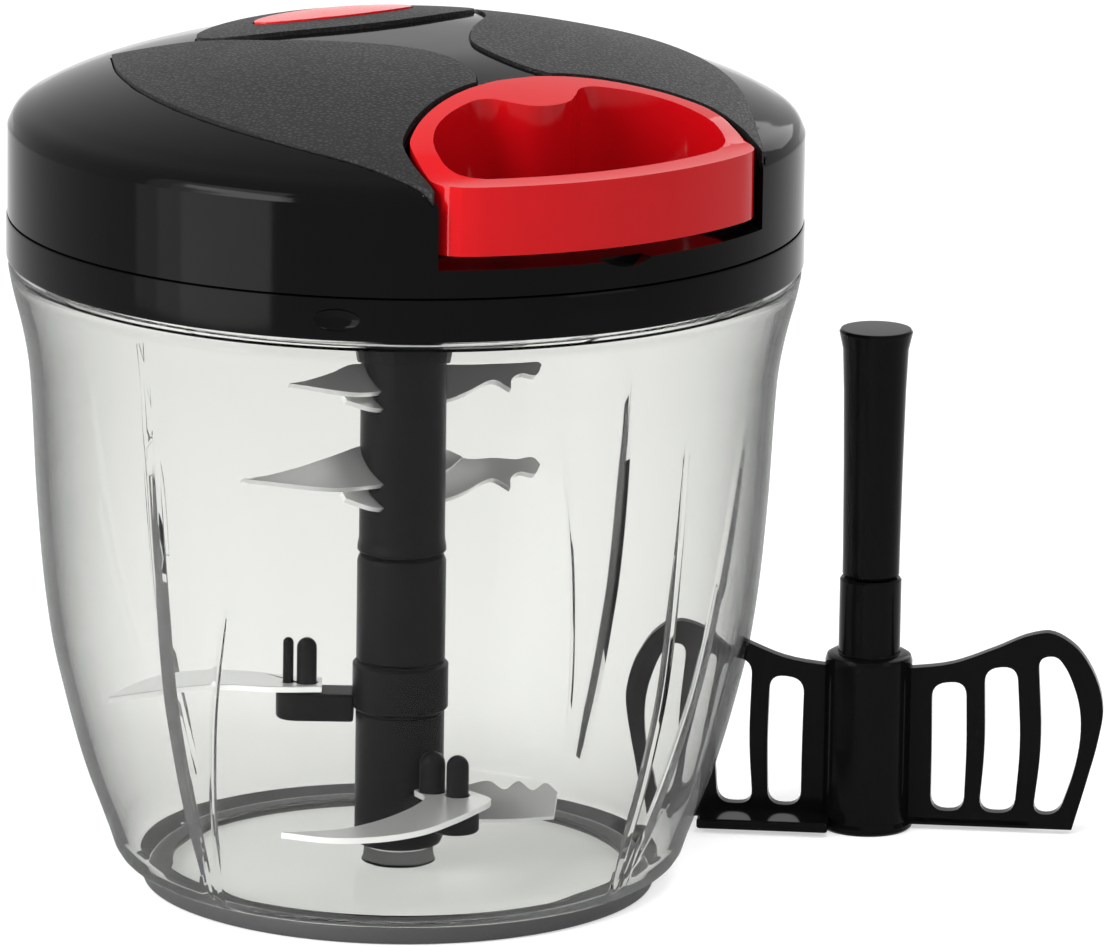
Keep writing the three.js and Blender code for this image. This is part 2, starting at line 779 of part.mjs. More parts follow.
function makeSpool() {
  const arborTop = casePlateBottom + springCase.plate + spring.width + 2 * gap;
  const upperTop = upperFlangeBottom + drive.flange;
  let body = turned([
    [spool.flangeRadius, lowerFlangeBottom], [spool.flangeRadius, lowerFlangeBottom + drive.flange],
    [spool.hubRadius, lowerFlangeBottom + drive.flange], [spool.hubRadius, upperFlangeBottom],
    [spool.flangeRadius, upperFlangeBottom], [spool.flangeRadius, upperTop],
    [spool.arborRadius, upperTop], [spool.arborRadius, arborTop],
    [spindle.radius + gap, arborTop], [spindle.radius + gap, lowerFlangeBottom],
  ], 24);
  const shape = new THREE.Shape();
  shape.absarc(0, 0, spool.ringRadius, 0, 2 * Math.PI, false);
  const teeth = [];
  for (let k = 0; k < spool.toothCount; k += 1) {
    const start = radians(toothAngle(k));
    const end = radians(toothAngle(k + 1) - 1);
    const middle = (start + end) / 2;
    const half = (spool.toothTip + spool.toothRoot) / 2;
    teeth.push([spool.toothTip * Math.cos(start), spool.toothTip * Math.sin(start)]);
    teeth.push([half * Math.cos(middle), half * Math.sin(middle)]);
    teeth.push([spool.toothRoot * Math.cos(end), spool.toothRoot * Math.sin(end)]);
  }
  shape.holes.push(new THREE.Path(teeth.reverse().map(([x, y]) => new THREE.Vector2(x, y))));
  body = body.add(extruded(shape, plateTop + 3 * gap, lowerFlangeBottom + fine, 8));
  return named('cord_spool', body, nylon);
}

function makeWinding() {
  const bottom = lowerFlangeBottom + drive.flange + gap;
  const top = upperFlangeBottom - gap;
  return named('cord_winding', tube(cord.windingOuter, cord.windingInner, bottom, top, 24), mattBlack);
}

// Spring case and the flat spiral spring that winds the cord back

const springCase = {
  plate: 1.2,
  radius: 19.4,
  wall: 1.4,
  earRadius: 3.2,
  holeRadius: 6,
};

const spring = {
  width: 2.4,
  thickness: 0.5,
  turns: 4.5,
  inner: 5.6,
};

function makeSpringCase() {
  const top = casePlateBottom + springCase.plate + spring.width + gap;
  let body = turned([
    [springCase.radius, casePlateBottom], [springCase.radius, top],
    [springCase.radius - springCase.wall, top], [springCase.radius - springCase.wall, casePlateBottom + springCase.plate],
    [springCase.holeRadius, casePlateBottom + springCase.plate], [springCase.holeRadius, casePlateBottom],
  ], 24);
  for (const [x, y] of postPlaces()) {
    const reach = base.postCircle + springCase.earRadius;
    const arm = box(springCase.radius - springCase.wall, base.postCircle, -springCase.earRadius, springCase.earRadius,
      casePlateBottom, casePlateBottom + springCase.plate);
    body = body.add(turnedAbout(arm, Math.atan2(y, x) * 180 / Math.PI));
    body = body.add(cylinder(reach - base.postCircle, casePlateBottom, casePlateBottom + springCase.plate, 12, x, y));
    body = body.subtract(cylinder(base.postHoleRadius + gap, casePlateBottom - cut, top, 8, x, y));
  }
  return named('spring_case', body, nylon);
}

function makeSpring() {
  const bottom = casePlateBottom + springCase.plate + gap / 2;
  const outer = springCase.radius - springCase.wall - gap;
  const steps = 54;
  const outside = [];
  const inside = [];
  for (let i = 0; i <= steps; i += 1) {
    const share = i / steps;
    const angle = share * spring.turns * 2 * Math.PI;
    const radius = spring.inner + share * (outer - spring.inner);
    outside.push([radius * Math.cos(angle), radius * Math.sin(angle)]);
    inside.push([(radius - spring.thickness) * Math.cos(angle), (radius - spring.thickness) * Math.sin(angle)]);
  }
  return named('power_spring', extruded(outline([...outside, ...inside.reverse()]), bottom, bottom + spring.width), steel);
}

function makeSpindle() {
  return named('spindle', turnedCore([
    [spindle.headRadius, spindleBottom], [spindle.headRadius, spindleBottom + spindle.headHeight],
    [spindle.radius, spindleBottom + spindle.headHeight], [spindle.radius, spindleTop],
  ], 24), steel);
}

function makeScrews() {
  const pieces = [];
  bossPlaces().forEach(([x, y], i) => {
    const bottom = discBottom + gap / 2;
    const head = cylinder(screw.headRadius, bottom, bottom + screw.headHeight, 12, x, y);
    const shank = cylinder(screw.radius, bottom + screw.headHeight - fine, bottom + screw.headHeight + screw.length - gap, 8, x, y);
    pieces.push(named(`housing_screw_${i + 1}`, head.add(shank), steel));
  });
  postPlaces().forEach(([x, y], i) => {
    const bottom = casePlateBottom + springCase.plate + gap / 2;
    const head = cylinder(screw.headRadius, bottom, bottom + screw.headHeight, 12, x, y);
    const shank = cylinder(base.postHoleRadius, bottom - screw.length + screw.headHeight, bottom + fine, 8, x, y);
    pieces.push(named(`case_screw_${i + 1}`, head.add(shank), steel));
  });
  return pieces;
}

// Drive hub: a carrier plate for the pawls, a journal in the base and a socket over the shaft's dog

const hub = {
  plateRadius: 14,
  journalRadius: 8.2,
  collarRadius: 5,
  socketRadius: 7.65,
  socketBore: 6.3,
  keyHalfWidth: 1.2,
  keyInner: 3.2,
  keyLead: 1.4,
  keyHeight: 10.5,
  keyAngle: 55,
  pinRadius: 1.2,
  pinCircle: 9.4,
};

const bush = {
  wall: 1.2,
};

const pawl = {
  eyeRadius: 2.5,
  tipRadius: 17.2,
  tipAngle: 44,
  standOff: 12,
  halfWidth: 1.3,
};

function makeHub() {
  const collarTop = lowerFlangeBottom - 2 * gap;
  const keyBottom = socketBottom + hub.keyLead;
  let body = turned([
    [hub.socketRadius, socketBottom], [hub.journalRadius, webBottom - bush.wall],
    [hub.journalRadius, plateBottom], [hub.plateRadius, plateBottom], [hub.plateRadius, plateTop],
    [hub.collarRadius, plateTop], [hub.collarRadius, collarTop],
    [spindle.radius + gap, collarTop], [spindle.radius + gap, webBottom],
    [hub.socketBore, webBottom], [hub.socketBore, socketBottom],
  ], 24);
  for (const turn of [0, 180]) {
    const key = box(hub.keyInner, hub.socketBore + fine, -hub.keyHalfWidth, hub.keyHalfWidth, keyBottom, keyBottom + hub.keyHeight);
    body = body.add(turnedAbout(key, turn + shaft.dogAngle + hub.keyAngle));
  }
  for (const turn of pawlAngles()) {
    const x = hub.pinCircle * Math.cos(radians(turn));
    const y = hub.pinCircle * Math.sin(radians(turn));
    body = body.add(cylinder(hub.pinRadius, plateTop - fine, plateTop + drive.pawl + 2 * gap, 16, x, y));
  }
  return named('drive_hub', body, mattBlack);
}

function makeBush() {
  const inner = hub.journalRadius + gap;
  const outer = inner + bush.wall;
  return named('hub_bush', turned([
    [outer, discBottom - base.bearingDrop], [outer, discTop + drive.disc / 4 + gap],
    [inner, discTop + drive.disc / 4 + gap], [inner, discBottom - base.bearingDrop],
  ], 28), nylon);
}

// The pawls' tips stand off from the deep end of a tooth space, so that they can swing in past it.
function pawlAngles() {
  const first = toothAngle(5) - 1 - pawl.tipAngle - pawl.standOff;
  return [first, first + 180];
}

function makePawl(index) {
  const eye = [hub.pinCircle, 0];
  const tip = [pawl.tipRadius * Math.cos(radians(pawl.tipAngle)), pawl.tipRadius * Math.sin(radians(pawl.tipAngle))];
  const along = new THREE.Vector2(tip[0] - eye[0], tip[1] - eye[1]);
  const length = along.length();
  along.normalize();
  const across = new THREE.Vector2(-along.y, along.x);
  const at = (forward, side) => [eye[0] + along.x * forward + across.x * side, eye[1] + along.y * forward + across.y * side];
  const w = pawl.halfWidth;
  const arm = outline([
    at(0, pawl.eyeRadius * 0.8), at(length * 0.6, w * 1.2), at(length * 0.95, w * 0.9),
    at(length, 0), at(length * 0.86, -w * 0.9), at(length * 0.5, -w), at(0, -pawl.eyeRadius * 0.8),
  ]);
  const bottom = plateTop + gap;
  const top = bottom + drive.pawl;
  let body = extruded(arm, bottom, top).add(cylinder(pawl.eyeRadius, bottom, top, 20, eye[0], eye[1]));
  body = body.subtract(cylinder(hub.pinRadius + gap, bottom - cut, top + cut, 16, eye[0], eye[1]));
  return named(`pawl_${index + 1}`, turnedAbout(body, pawlAngles()[index]), steel);
}

// Blade set: lower hub, collar, lower shaft and upper shaft, each keyed into the next

const shaft = {
  bottom: 6.2,
  lowerRadius: 7.5,
  collarRadius: 8.1,
  upperRadius: 7.25,
  collarBottom: 29.5,
  collarTop: 37.8,
  joint: 56.4,
  dogHalfWidth: 1.7,
  dogLength: 5.8,
  dogAngle: 20,
  coreHalf: 3.6,
  coreBottom: 23,
  spigotHalf: 3.2,
};

// Radius of the bowl's inside at a height.
function insideRadiusAt(height) {
  const share = height / bowl.shoulderHeight;
  const k = bowl.wallShares.findIndex(([, z]) => z > share);
  const [r0, z0] = bowl.wallShares[k - 1];
  const [r1, z1] = bowl.wallShares[k];
  return (r0 + (r1 - r0) * (share - z0) / (z1 - z0)) * bowl.shoulderRadius - bowl.wall;
}

// Arms that carry a blade. Their tongue and posts are placed by shares of the blade's reach from the root.
const longArm = {
  width: 7,
  height: 4.8,
  angle: 146,
  bottom: 27.6,
  root: shaft.collarRadius,
  reach: 0.891 * insideRadiusAt(33),
  tongueShare: 0.32,
  postShares: [[0.191, 0], [0.269, 0]],
  postRadii: [1.7, 0.9],
  postTop: 41.4,
};

const shortArm = {
  width: 8,
  height: 4.8,
  angle: -84,
  bottom: 11.4,
  root: shaft.lowerRadius,
  reach: 0.567 * insideRadiusAt(16.8),
  tongueShare: 0.556,
  postShares: [[0.14, -0.063], [0.362, 0.019]],
  postRadii: [2.2, 1.9],
  postTop: 24.4,
};

function postsOf(arm) {
  const span = arm.reach - arm.root;
  return arm.postShares.map(([x, y], i) => [arm.root + x * span, y * span, arm.postRadii[i]]);
}

function square(half, bottom, top) {
  return box(-half, half, -half, half, bottom, top);
}

// A tongue from the shaft outwards with tapered posts that hold the blade's root.
function armTongue(arm, start) {
  const half = arm.width / 2;
  const top = arm.bottom + arm.height;
  const centre = arm.root + arm.tongueShare * (arm.reach - arm.root) - half;
  let body = box(start, centre, -half, half, arm.bottom, top);
  body = body.add(cylinder(half, arm.bottom, top, 20, centre, 0));
  for (const [x, y, radius] of postsOf(arm)) {
    body = body.add(turnedCore([
      [radius, top - fine], [radius, arm.postTop - radius], [radius * 0.7, arm.postTop - radius * 0.3],
      [radius * 0.2, arm.postTop],
    ], 14).translate([x, y, 0]));
  }
  return turnedAbout(body, arm.angle);
}

function makeLowerHub() {
  const r = shaft.lowerRadius;
  let body = turnedCore([
    [r - cut, shaft.bottom], [r, shaft.bottom + cut], [r, shaft.collarBottom - gap],
  ], 24);
  body = body.add(armTongue(shortArm, r / 2));
  body = body.subtract(cylinder(bowl.pinRadius + gap, shaft.bottom - cut, bowl.pinTop + gap, 16));
  body = body.subtract(square(shaft.coreHalf + gap, shaft.coreBottom - gap, shaft.collarBottom));
  body = body.subtract(bladeSolid(serratedBlade, gap));
  return named('lower_hub', body, mattBlack);
}

function makeArmCollar() {
  const r = shaft.collarRadius;
  let body = cylinder(r, shaft.collarBottom, shaft.collarTop, 24);
  const start = shaft.lowerRadius + gap;
  body = body.add(armTongue(longArm, start));
  body = body.subtract(square(shaft.coreHalf + gap, longArm.bottom - cut, shaft.collarTop + cut));
  return named('arm_collar', body, mattBlack);
}

function makeLowerShaft() {
  const r = shaft.lowerRadius;
  let body = turnedCore([
    [r, shaft.collarTop + gap], [r, shaft.joint - cut], [r - gap, shaft.joint],
  ], 24);
  body = body.add(square(shaft.coreHalf, shaft.coreBottom, shaft.collarTop + cut));
  body = body.add(square(shaft.spigotHalf, shaft.joint - cut, spigotTop()));
  return named('lower_shaft', body, mattBlack);
}

function makeUpperShaft() {
  const r = shaft.upperRadius;
  const flare = shaft.lowerRadius;
  let body = turnedCore([
    [flare, shaft.joint + gap], [flare, shaft.joint + gap + cut], [r, shaft.joint + 3 * cut],
    [r, shaftTop],
  ], 24);
  const dog = box(-shaft.dogLength, shaft.dogLength, -shaft.dogHalfWidth, shaft.dogHalfWidth, shaftTop - cut, dogTop);
  body = body.add(turnedAbout(dog, shaft.dogAngle));
  body = body.subtract(square(shaft.spigotHalf + gap, shaft.joint, spigotTop() + gap));
  for (const blade of stripBlades) {
    body = body.subtract(bladeSolid(blade, gap));
  }
  return named('upper_shaft', body, mattBlack);
}

// Blades: flat steel outlines, pitched about their own length and set at their level on the shaft.
// Outlines run along the blade (first number) and across it (second), as shares of its reach from its root.

const bladeStock = 1;

const hookedShares = [
  [-0.367, -0.013], [-0.303, -0.047], [0, -0.12], [0.213, -0.143], [0.35, -0.11], [0.637, -0.04],
  [0.833, -0.01], [1.007, 0.007], [0.867, 0.043], [0.697, 0.09], [0.463, 0.143], [0.233, 0.15],
  [0, 0.143], [-0.247, 0.09],
];

const toothedShares = [
  [-0.4, -0.017], [-0.267, -0.107], [0, -0.133], [0.237, -0.123], [0.4, -0.087], [0.597, -0.037],
  [0.67, -0.12], [0.717, -0.047], [0.8, -0.023], [0.873, -0.05], [0.953, 0.013], [0.943, 0.063],
  [0.817, 0.077], [0.683, 0.113], [0.533, 0.13], [0.413, 0.177], [0.233, 0.18], [-0.267, 0.12],
  [-0.4, 0.033],
];

const longShares = [
  [0.127, -0.074], [0.295, -0.109], [0.444, -0.164], [0.618, -0.169], [0.804, -0.074], [0.916, 0.084],
  [1, 0.303], [0.854, 0.213], [0.692, 0.114], [0.519, 0.065], [0.345, 0.089], [0.127, 0.074],
];

const crescentShares = [
  [0.034, -0.164], [0.242, -0.222], [0.391, -0.435], [0.507, -0.725], [0.585, -1.039], [0.594, -1.353],
  [0.386, -1.807], [0.768, -1.575], [0.961, -1.237], [1, -0.87], [0.903, -0.483], [0.768, -0.126],
  [0.614, 0.164], [0.314, 0.184], [0.034, 0.164],
];

const serratedShares = [
  [0.17, -0.111], [0.407, -0.133], [0.667, -0.13], [0.978, -0.096], [0.993, 0.081], [0.911, 0.141],
  [0.837, 0.089], [0.741, 0.148], [0.659, 0.089], [0.563, 0.141], [0.407, 0.111], [0.17, 0.111],
];

// How far up the upper shaft each blade crosses it, as a share of the shaft's length.
const levelShares = { upperHooked: 0.881, upperToothed: 0.791, middleHooked: 0.441, middleToothed: 0.311 };

function levelAt(share) {
  return shaft.joint + share * (shaftTop - shaft.joint);
}

// The lower shaft's spigot ends below the lowest blade that crosses the upper shaft.
function spigotTop() {
  return levelAt(levelShares.middleToothed) - shaft.spigotHalf - gap;
}

const strip = {
  reach: 30,
  pitch: 37,
  hookedAngle: 175,
  toothedAngle: 2,
};

const upperHooked = {
  name: 'upper_hooked_blade', shares: hookedShares, stretch: 0.72, widen: 0.85, angle: strip.hookedAngle,
  height: levelAt(levelShares.upperHooked), pitch: -strip.pitch,
  root: 0, reach: strip.reach,
};
const upperToothed = {
  name: 'upper_toothed_blade', shares: toothedShares, stretch: 1, widen: 0.9, angle: strip.toothedAngle,
  height: levelAt(levelShares.upperToothed), pitch: strip.pitch,
  root: 0, reach: strip.reach,
};
const middleHooked = {
  name: 'middle_hooked_blade', shares: hookedShares, stretch: 1, widen: 1, angle: strip.hookedAngle,
  height: levelAt(levelShares.middleHooked), pitch: -strip.pitch,
  root: 0, reach: strip.reach,
};
const middleToothed = {
  name: 'middle_toothed_blade', shares: toothedShares, stretch: 1, widen: 1, angle: strip.toothedAngle,
  height: levelAt(levelShares.middleToothed), pitch: strip.pitch,
  root: 0, reach: strip.reach,
};
const longBlade = {
  name: 'long_blade', shares: longShares, stretch: 1, widen: 1, angle: longArm.angle, pitch: 0,
  height: longArm.bottom + longArm.height + gap + bladeStock / 2,
  arm: longArm, root: longArm.root, reach: longArm.reach,
};
const crescentBlade = {
  name: 'crescent_blade', shares: crescentShares, stretch: 1, widen: 1, angle: shortArm.angle, pitch: 0,
  height: shortArm.bottom + shortArm.height + gap + bladeStock / 2,
  arm: shortArm, root: shortArm.root, reach: shortArm.reach,
};
const serrated = {
  lift: 7.3,
  reach: 27,
};

const serratedBlade = {
  name: 'serrated_blade', shares: serratedShares, stretch: 1, widen: 1, angle: -38, pitch: 45,
  height: shaft.bottom + serrated.lift, root: 0, reach: serrated.reach,
};

const stripBlades = [upperHooked, upperToothed, middleHooked, middleToothed];

function bladeSolid(blade, clearance) {
  const span = blade.reach - blade.root;
  const points = blade.shares.map(([x, y]) => [blade.root + x * span * blade.stretch, y * span * blade.widen]);
  const loop = clearance > 0 ? grown(points, clearance) : points;
  const half = bladeStock / 2 + clearance;
  let body = extruded(outline(loop), -half, half);
  if (blade.arm) {
    for (const [x, y, radius] of postsOf(blade.arm)) {
      body = body.subtract(cylinder(radius + gap, -cut, cut, 16, x, y));
    }
  }
  body = body.rotate([blade.pitch, 0, 0]);
  return body.rotate([0, 0, blade.angle]).translate([0, 0, blade.height]);
}

function makeBlade(blade) {
  return named(blade.name, bladeSolid(blade, 0), steel);
}

// Mixing paddle: a stem with a flared top and a two-winged head, standing beside the bowl

const standAway = 20; // from the bowl's side to the paddle's stem

const paddle = {
  x: bowl.shoulderRadius + standAway,
  y: -15.3,
  angle: -39,
  stemTop: 88,
  stemBottom: 44.6,
  flareRadius: 6.3,
  neckRadius: 5.6,
  waistRadius: 4.9,
  sleeveRadius: 5.3,
  hubRadius: 7.5,
  hubTop: 31,
  hubBottom: 0,
  lipRadius: 8,
  lipHeight: 1.4,
  keyHalf: 2.4,
  keyDepth: 8,
  wingThickness: 2.4,
  ledge: 9.5,
  ledgeEndShare: 0.8,
  ledgeThickness: 1.8,
  wingBottom: 0.8,
  wingReach: 40.5,
  wingHeight: 34.9,
};

// Half a wing's outline and its slots, as shares of its reach and height.
const wingShares = [
  [0.148, 0], [0.879, 0], [0.941, 0.264], [0.983, 0.464], [1, 0.616], [0.951, 0.817], [0.867, 0.943], [0.763, 1],
  [0.699, 0.989], [0.531, 0.905], [0.36, 0.828], [0.148, 0.791],
];

const slotShares = [
  [[0.291, 0.074], [0.395, 0.074], [0.42, 0.103], [0.425, 0.401], [0.42, 0.705], [0.39, 0.734], [0.301, 0.734], [0.272, 0.699], [0.277, 0.103]],
  [[0.509, 0.074], [0.612, 0.074], [0.637, 0.109], [0.649, 0.43], [0.635, 0.774], [0.607, 0.814], [0.533, 0.814], [0.506, 0.774], [0.499, 0.401],
    [0.486, 0.109]],
  [[0.741, 0.074], [0.795, 0.08], [0.83, 0.126], [0.889, 0.338], [0.909, 0.59], [0.874, 0.762], [0.815, 0.86], [0.765, 0.877], [0.731, 0.842],
    [0.741, 0.43], [0.716, 0.109]],
];

function makeStem() {
  const z = (share) => paddle.stemBottom + share * (paddle.stemTop - paddle.stemBottom);
  let body = turnedCore([
    [paddle.waistRadius, z(0)], [paddle.waistRadius, z(0.05)], [paddle.neckRadius, z(0.92)],
    [paddle.flareRadius, z(0.98)], [paddle.flareRadius, z(1)],
  ], 24);
  body = body.add(square(paddle.keyHalf, paddle.stemBottom - paddle.keyDepth, paddle.stemBottom + cut));
  return named('paddle_stem', turnedAbout(body, paddle.angle).translate([paddle.x, paddle.y, 0]), glossBlack);
}

function wingPoints(list) {
  return list.map(([x, y]) => [x * paddle.wingReach, y * paddle.wingHeight]);
}

function wing() {
  const half = paddle.wingThickness / 2;
  const edge = wingPoints(wingShares);
  const shape = outline(edge);
  for (const slot of slotShares) {
    shape.holes.push(outline(wingPoints([...slot].reverse())));
  }
  const geometry = new THREE.ExtrudeGeometry(shape, { depth: 2 * half, bevelEnabled: false });
  geometry.translate(0, 0, -half);
  geometry.rotateX(Math.PI / 2);
  geometry.translate(0, 0, paddle.wingBottom);
  const ledge = box(edge[0][0], paddle.ledgeEndShare * edge[1][0], -half, paddle.ledge,
    paddle.wingBottom, paddle.wingBottom + paddle.ledgeThickness);
  return solid(geometry).add(ledge);
}

function makePaddleHead() {
  const top = paddle.stemBottom - gap;
  let body = turnedCore([
    [paddle.lipRadius, paddle.hubBottom], [paddle.lipRadius, paddle.hubBottom + paddle.lipHeight],
    [paddle.hubRadius, paddle.hubBottom + paddle.lipHeight + fine],
    [paddle.hubRadius, paddle.hubTop - cut], [paddle.hubRadius - cut, paddle.hubTop],
    [paddle.sleeveRadius, paddle.hubTop], [paddle.sleeveRadius, top],
  ], 24);
  body = body.add(wing()).add(turnedAbout(wing(), 180));
  body = body.subtract(square(paddle.keyHalf + gap, paddle.stemBottom - paddle.keyDepth - gap, paddle.stemBottom));
  return named('paddle_head', turnedAbout(body, paddle.angle).translate([paddle.x, paddle.y, 0]), glossBlack);
}

// Assembly

const chopper = new THREE.Group();

const bowlGroup = new THREE.Group();
bowlGroup.add(makeBowl(), makeFootRing());

const lidGroup = new THREE.Group();
lidGroup.add(
  makeSeal(), makeLidBase(), makeHousing(), makePanel('left_panel', false), makePanel('right_panel', true),
  makeCap(), makeBadge(), makeEyelet(), makeCordRun(), makeSpringCase(), makeSpring(), makeSpindle(),
  makeBush(), ...makeScrews(),
);

const driveGroup = new THREE.Group();
driveGroup.add(makeSpool(), makeWinding(), makeHub(), makePawl(0), makePawl(1));

const handleGroup = new THREE.Group();
handleGroup.add(makeHandle(), makeKnot());

const bladeGroup = new THREE.Group();
bladeGroup.add(
  makeLowerHub(), makeArmCollar(), makeLowerShaft(), makeUpperShaft(),
  ...[...stripBlades, longBlade, crescentBlade, serratedBlade].map(makeBlade),
);

const paddleGroup = new THREE.Group();
paddleGroup.add(makeStem(), makePaddleHead());

chopper.add(bowlGroup, lidGroup, driveGroup, handleGroup, bladeGroup, paddleGroup);

export default chopper;
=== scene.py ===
import math

import bmesh
import bpy
from mathutils import Matrix, Vector


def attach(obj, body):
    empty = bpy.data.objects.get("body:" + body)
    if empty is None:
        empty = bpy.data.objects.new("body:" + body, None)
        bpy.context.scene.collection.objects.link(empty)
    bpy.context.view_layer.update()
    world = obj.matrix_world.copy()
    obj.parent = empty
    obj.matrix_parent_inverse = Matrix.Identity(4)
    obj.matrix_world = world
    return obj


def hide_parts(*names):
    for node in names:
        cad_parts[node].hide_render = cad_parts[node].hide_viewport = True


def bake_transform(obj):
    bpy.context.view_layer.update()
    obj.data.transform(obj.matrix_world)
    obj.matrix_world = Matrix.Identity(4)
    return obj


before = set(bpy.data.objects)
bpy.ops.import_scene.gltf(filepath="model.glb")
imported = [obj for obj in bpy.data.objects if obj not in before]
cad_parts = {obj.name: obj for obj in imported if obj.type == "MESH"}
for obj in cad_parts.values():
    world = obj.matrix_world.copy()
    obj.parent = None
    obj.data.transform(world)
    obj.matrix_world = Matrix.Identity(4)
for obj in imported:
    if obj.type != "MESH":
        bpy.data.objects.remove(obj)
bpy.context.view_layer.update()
print("frame loaded:", len(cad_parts), "nodes")

# Shapes are drawn in millimetres and scaled once, when a piece is placed.
mm = 0.001


# Shared shape helpers

def smoothLine(points, perSpan=6, closed=False):
    # a smooth line through the points; a third number of 1 keeps a point as a sharp corner
    count = len(points)
    line = []
    for i in range(count if closed else count - 1):
        here, after = points[i], points[(i + 1) % count]
        before = points[(i - 1) % count] if closed or i else here
        beyond = points[(i + 2) % count] if closed or i + 2 < count else after
        if len(here) > 2:
            before = here
        if len(after) > 2:
            beyond = after
        a, b, c, d = (Vector(p[:2]) for p in (before, here, after, beyond))
        span = (c - b).length
        leave = (c - b) if (b - a).length < 1e-6 else tangent(a, b, c) * span
        arrive = (c - b) if (d - c).length < 1e-6 else tangent(b, c, d) * span
        for k in range(perSpan):
            t = k / perSpan
            s = t * t * (3 - 2 * t)
            line.append(tuple(
                b * (1 - s) + c * s + leave * (t * (1 - t) ** 2) + arrive * (t * t * (t - 1))
            ))
    if not closed:
        line.append(tuple(points[-1][:2]))
    return line


def tangent(a, b, c):
    # direction of a smooth line at b, weighted toward the nearer neighbour
    near, far = (b - a).length, (c - b).length
    return ((b - a) * (far / near) + (c - b) * (near / far)) / (near + far)


def offsetLoop(points, distance):
    # the closed outline moved outwards by a distance
    count = len(points)
    turn = sum(
        points[i][0] * points[(i + 1) % count][1] - points[(i + 1) % count][0] * points[i][1]
        for i in range(count)
    )
    side = 1 if turn > 0 else -1
    loop = []
    for i in range(count):
        a, b, c = (Vector(points[j % count][:2]) for j in (i - 1, i, i + 1))
        first, second = (b - a).normalized(), (c - b).normalized()
        normal = Vector((first.y + second.y, -first.x - second.x)).normalized()
        reach = max(0.5, normal.x * first.y - normal.y * first.x)
        loop.append(tuple(b + normal * (distance * side / reach)))
    return loop


def mirroredLoop(points):
    return [(-p[0],) + tuple(p[1:]) for p in reversed(points)]


def spunSolid(profile, steps=192, closed=True):
    # a profile of (radius, height) pairs spun about the vertical axis
    bm = bmesh.new()
    verts = [bm.verts.new((r, 0, z)) for r, z in profile]
    edges = [bm.edges.new(pair) for pair in zip(verts, verts[1:])]
    if closed:
        edges.append(bm.edges.new((verts[-1], verts[0])))
    bmesh.ops.spin(
        bm, geom=verts + edges, cent=(0, 0, 0), axis=(0, 0, 1), angle=2 * math.pi,
        steps=steps, use_merge=True, use_duplicate=False,
    )
    bmesh.ops.remove_doubles(bm, verts=bm.verts[:], dist=0.002)
    bmesh.ops.recalc_face_normals(bm, faces=bm.faces[:])
    return bm


def prism(points, low, high):
    # a flat outline raised to a solid
    bm = bmesh.new()
    face = bm.faces.new([bm.verts.new((p[0], p[1], low)) for p in points])
    grown = bmesh.ops.extrude_face_region(bm, geom=[face])
    raised = [item for item in grown["geom"] if isinstance(item, bmesh.types.BMVert)]
    bmesh.ops.translate(bm, verts=raised, vec=(0, 0, high - low))
    bmesh.ops.recalc_face_normals(bm, faces=bm.faces[:])
    return bm


def rod(radius, low, high, x=0, y=0, segments=32):
    bm = bmesh.new()
    bmesh.ops.create_cone(
        bm, cap_ends=True, segments=segments, radius1=radius, radius2=radius, depth=high - low,
    )
    return moved(bm, x, y, (high + low) / 2)


def block(low, high):
    bm = bmesh.new()
    bmesh.ops.create_cube(bm, size=1)
    low, high = Vector(low), Vector(high)
    bmesh.ops.scale(bm, verts=bm.verts[:], vec=high - low)
    return moved(bm, *((high + low) / 2))


def pillar(halfX, halfY, low, high):
    return block((-halfX, -halfY, low), (halfX, halfY, high))


def turned(bm, degrees, axis="Z"):
    matrix = Matrix.Rotation(math.radians(degrees), 3, axis)
    bmesh.ops.rotate(bm, verts=bm.verts[:], cent=(0, 0, 0), matrix=matrix)
    return bm


def moved(bm, x, y, z):
    bmesh.ops.translate(bm, verts=bm.verts[:], vec=(x, y, z))
    return bm


def meshOf(bm, name="shape"):
    # the shape as a mesh; the shape itself is freed
    mesh = bpy.data.meshes.new(name)
    bm.to_mesh(mesh)
    bm.free()
    return mesh


def inScene(name, data):
    thing = bpy.data.objects.new(name, data)
    bpy.context.scene.collection.objects.link(thing)
    return thing


def joined(*parts):
    # several closed shells in one mesh
    whole = bmesh.new()
    for part in parts:
        mesh = meshOf(part)
        whole.from_mesh(mesh)
        bpy.data.meshes.remove(mesh)
    return whole


def boolean(base, tool, operation):
    objects = [inScene("shape", meshOf(bm)) for bm in (base, tool)]
    change = objects[0].modifiers.new("join", "BOOLEAN")
    change.operation = operation
    change.object = objects[1]
    change.solver = "MANIFOLD"
    bpy.context.view_layer.update()
    made = bpy.data.meshes.new_from_object(
        objects[0].evaluated_get(bpy.context.evaluated_depsgraph_get())
    )
    result = bmesh.new()
    result.from_mesh(made)
    meshes = [made] + [thing.data for thing in objects]
    for thing in objects:
        bpy.data.objects.remove(thing)
    for mesh in meshes:
        bpy.data.meshes.remove(mesh)
    return result


def cut(base, tool):
    return boolean(base, tool, "DIFFERENCE")


def added(base, tool):
    return boolean(base, tool, "UNION")


def common(base, tool):
    return boolean(base, tool, "INTERSECT")


def bevelled(bm, edges, width, segments, slide):
    bmesh.ops.bevel(
        bm, geom=edges, offset=width, offset_type="OFFSET", segments=segments, profile=0.5,
        affect="EDGES", clamp_overlap=True, material=-1, loop_slide=slide,
    )
    return bm


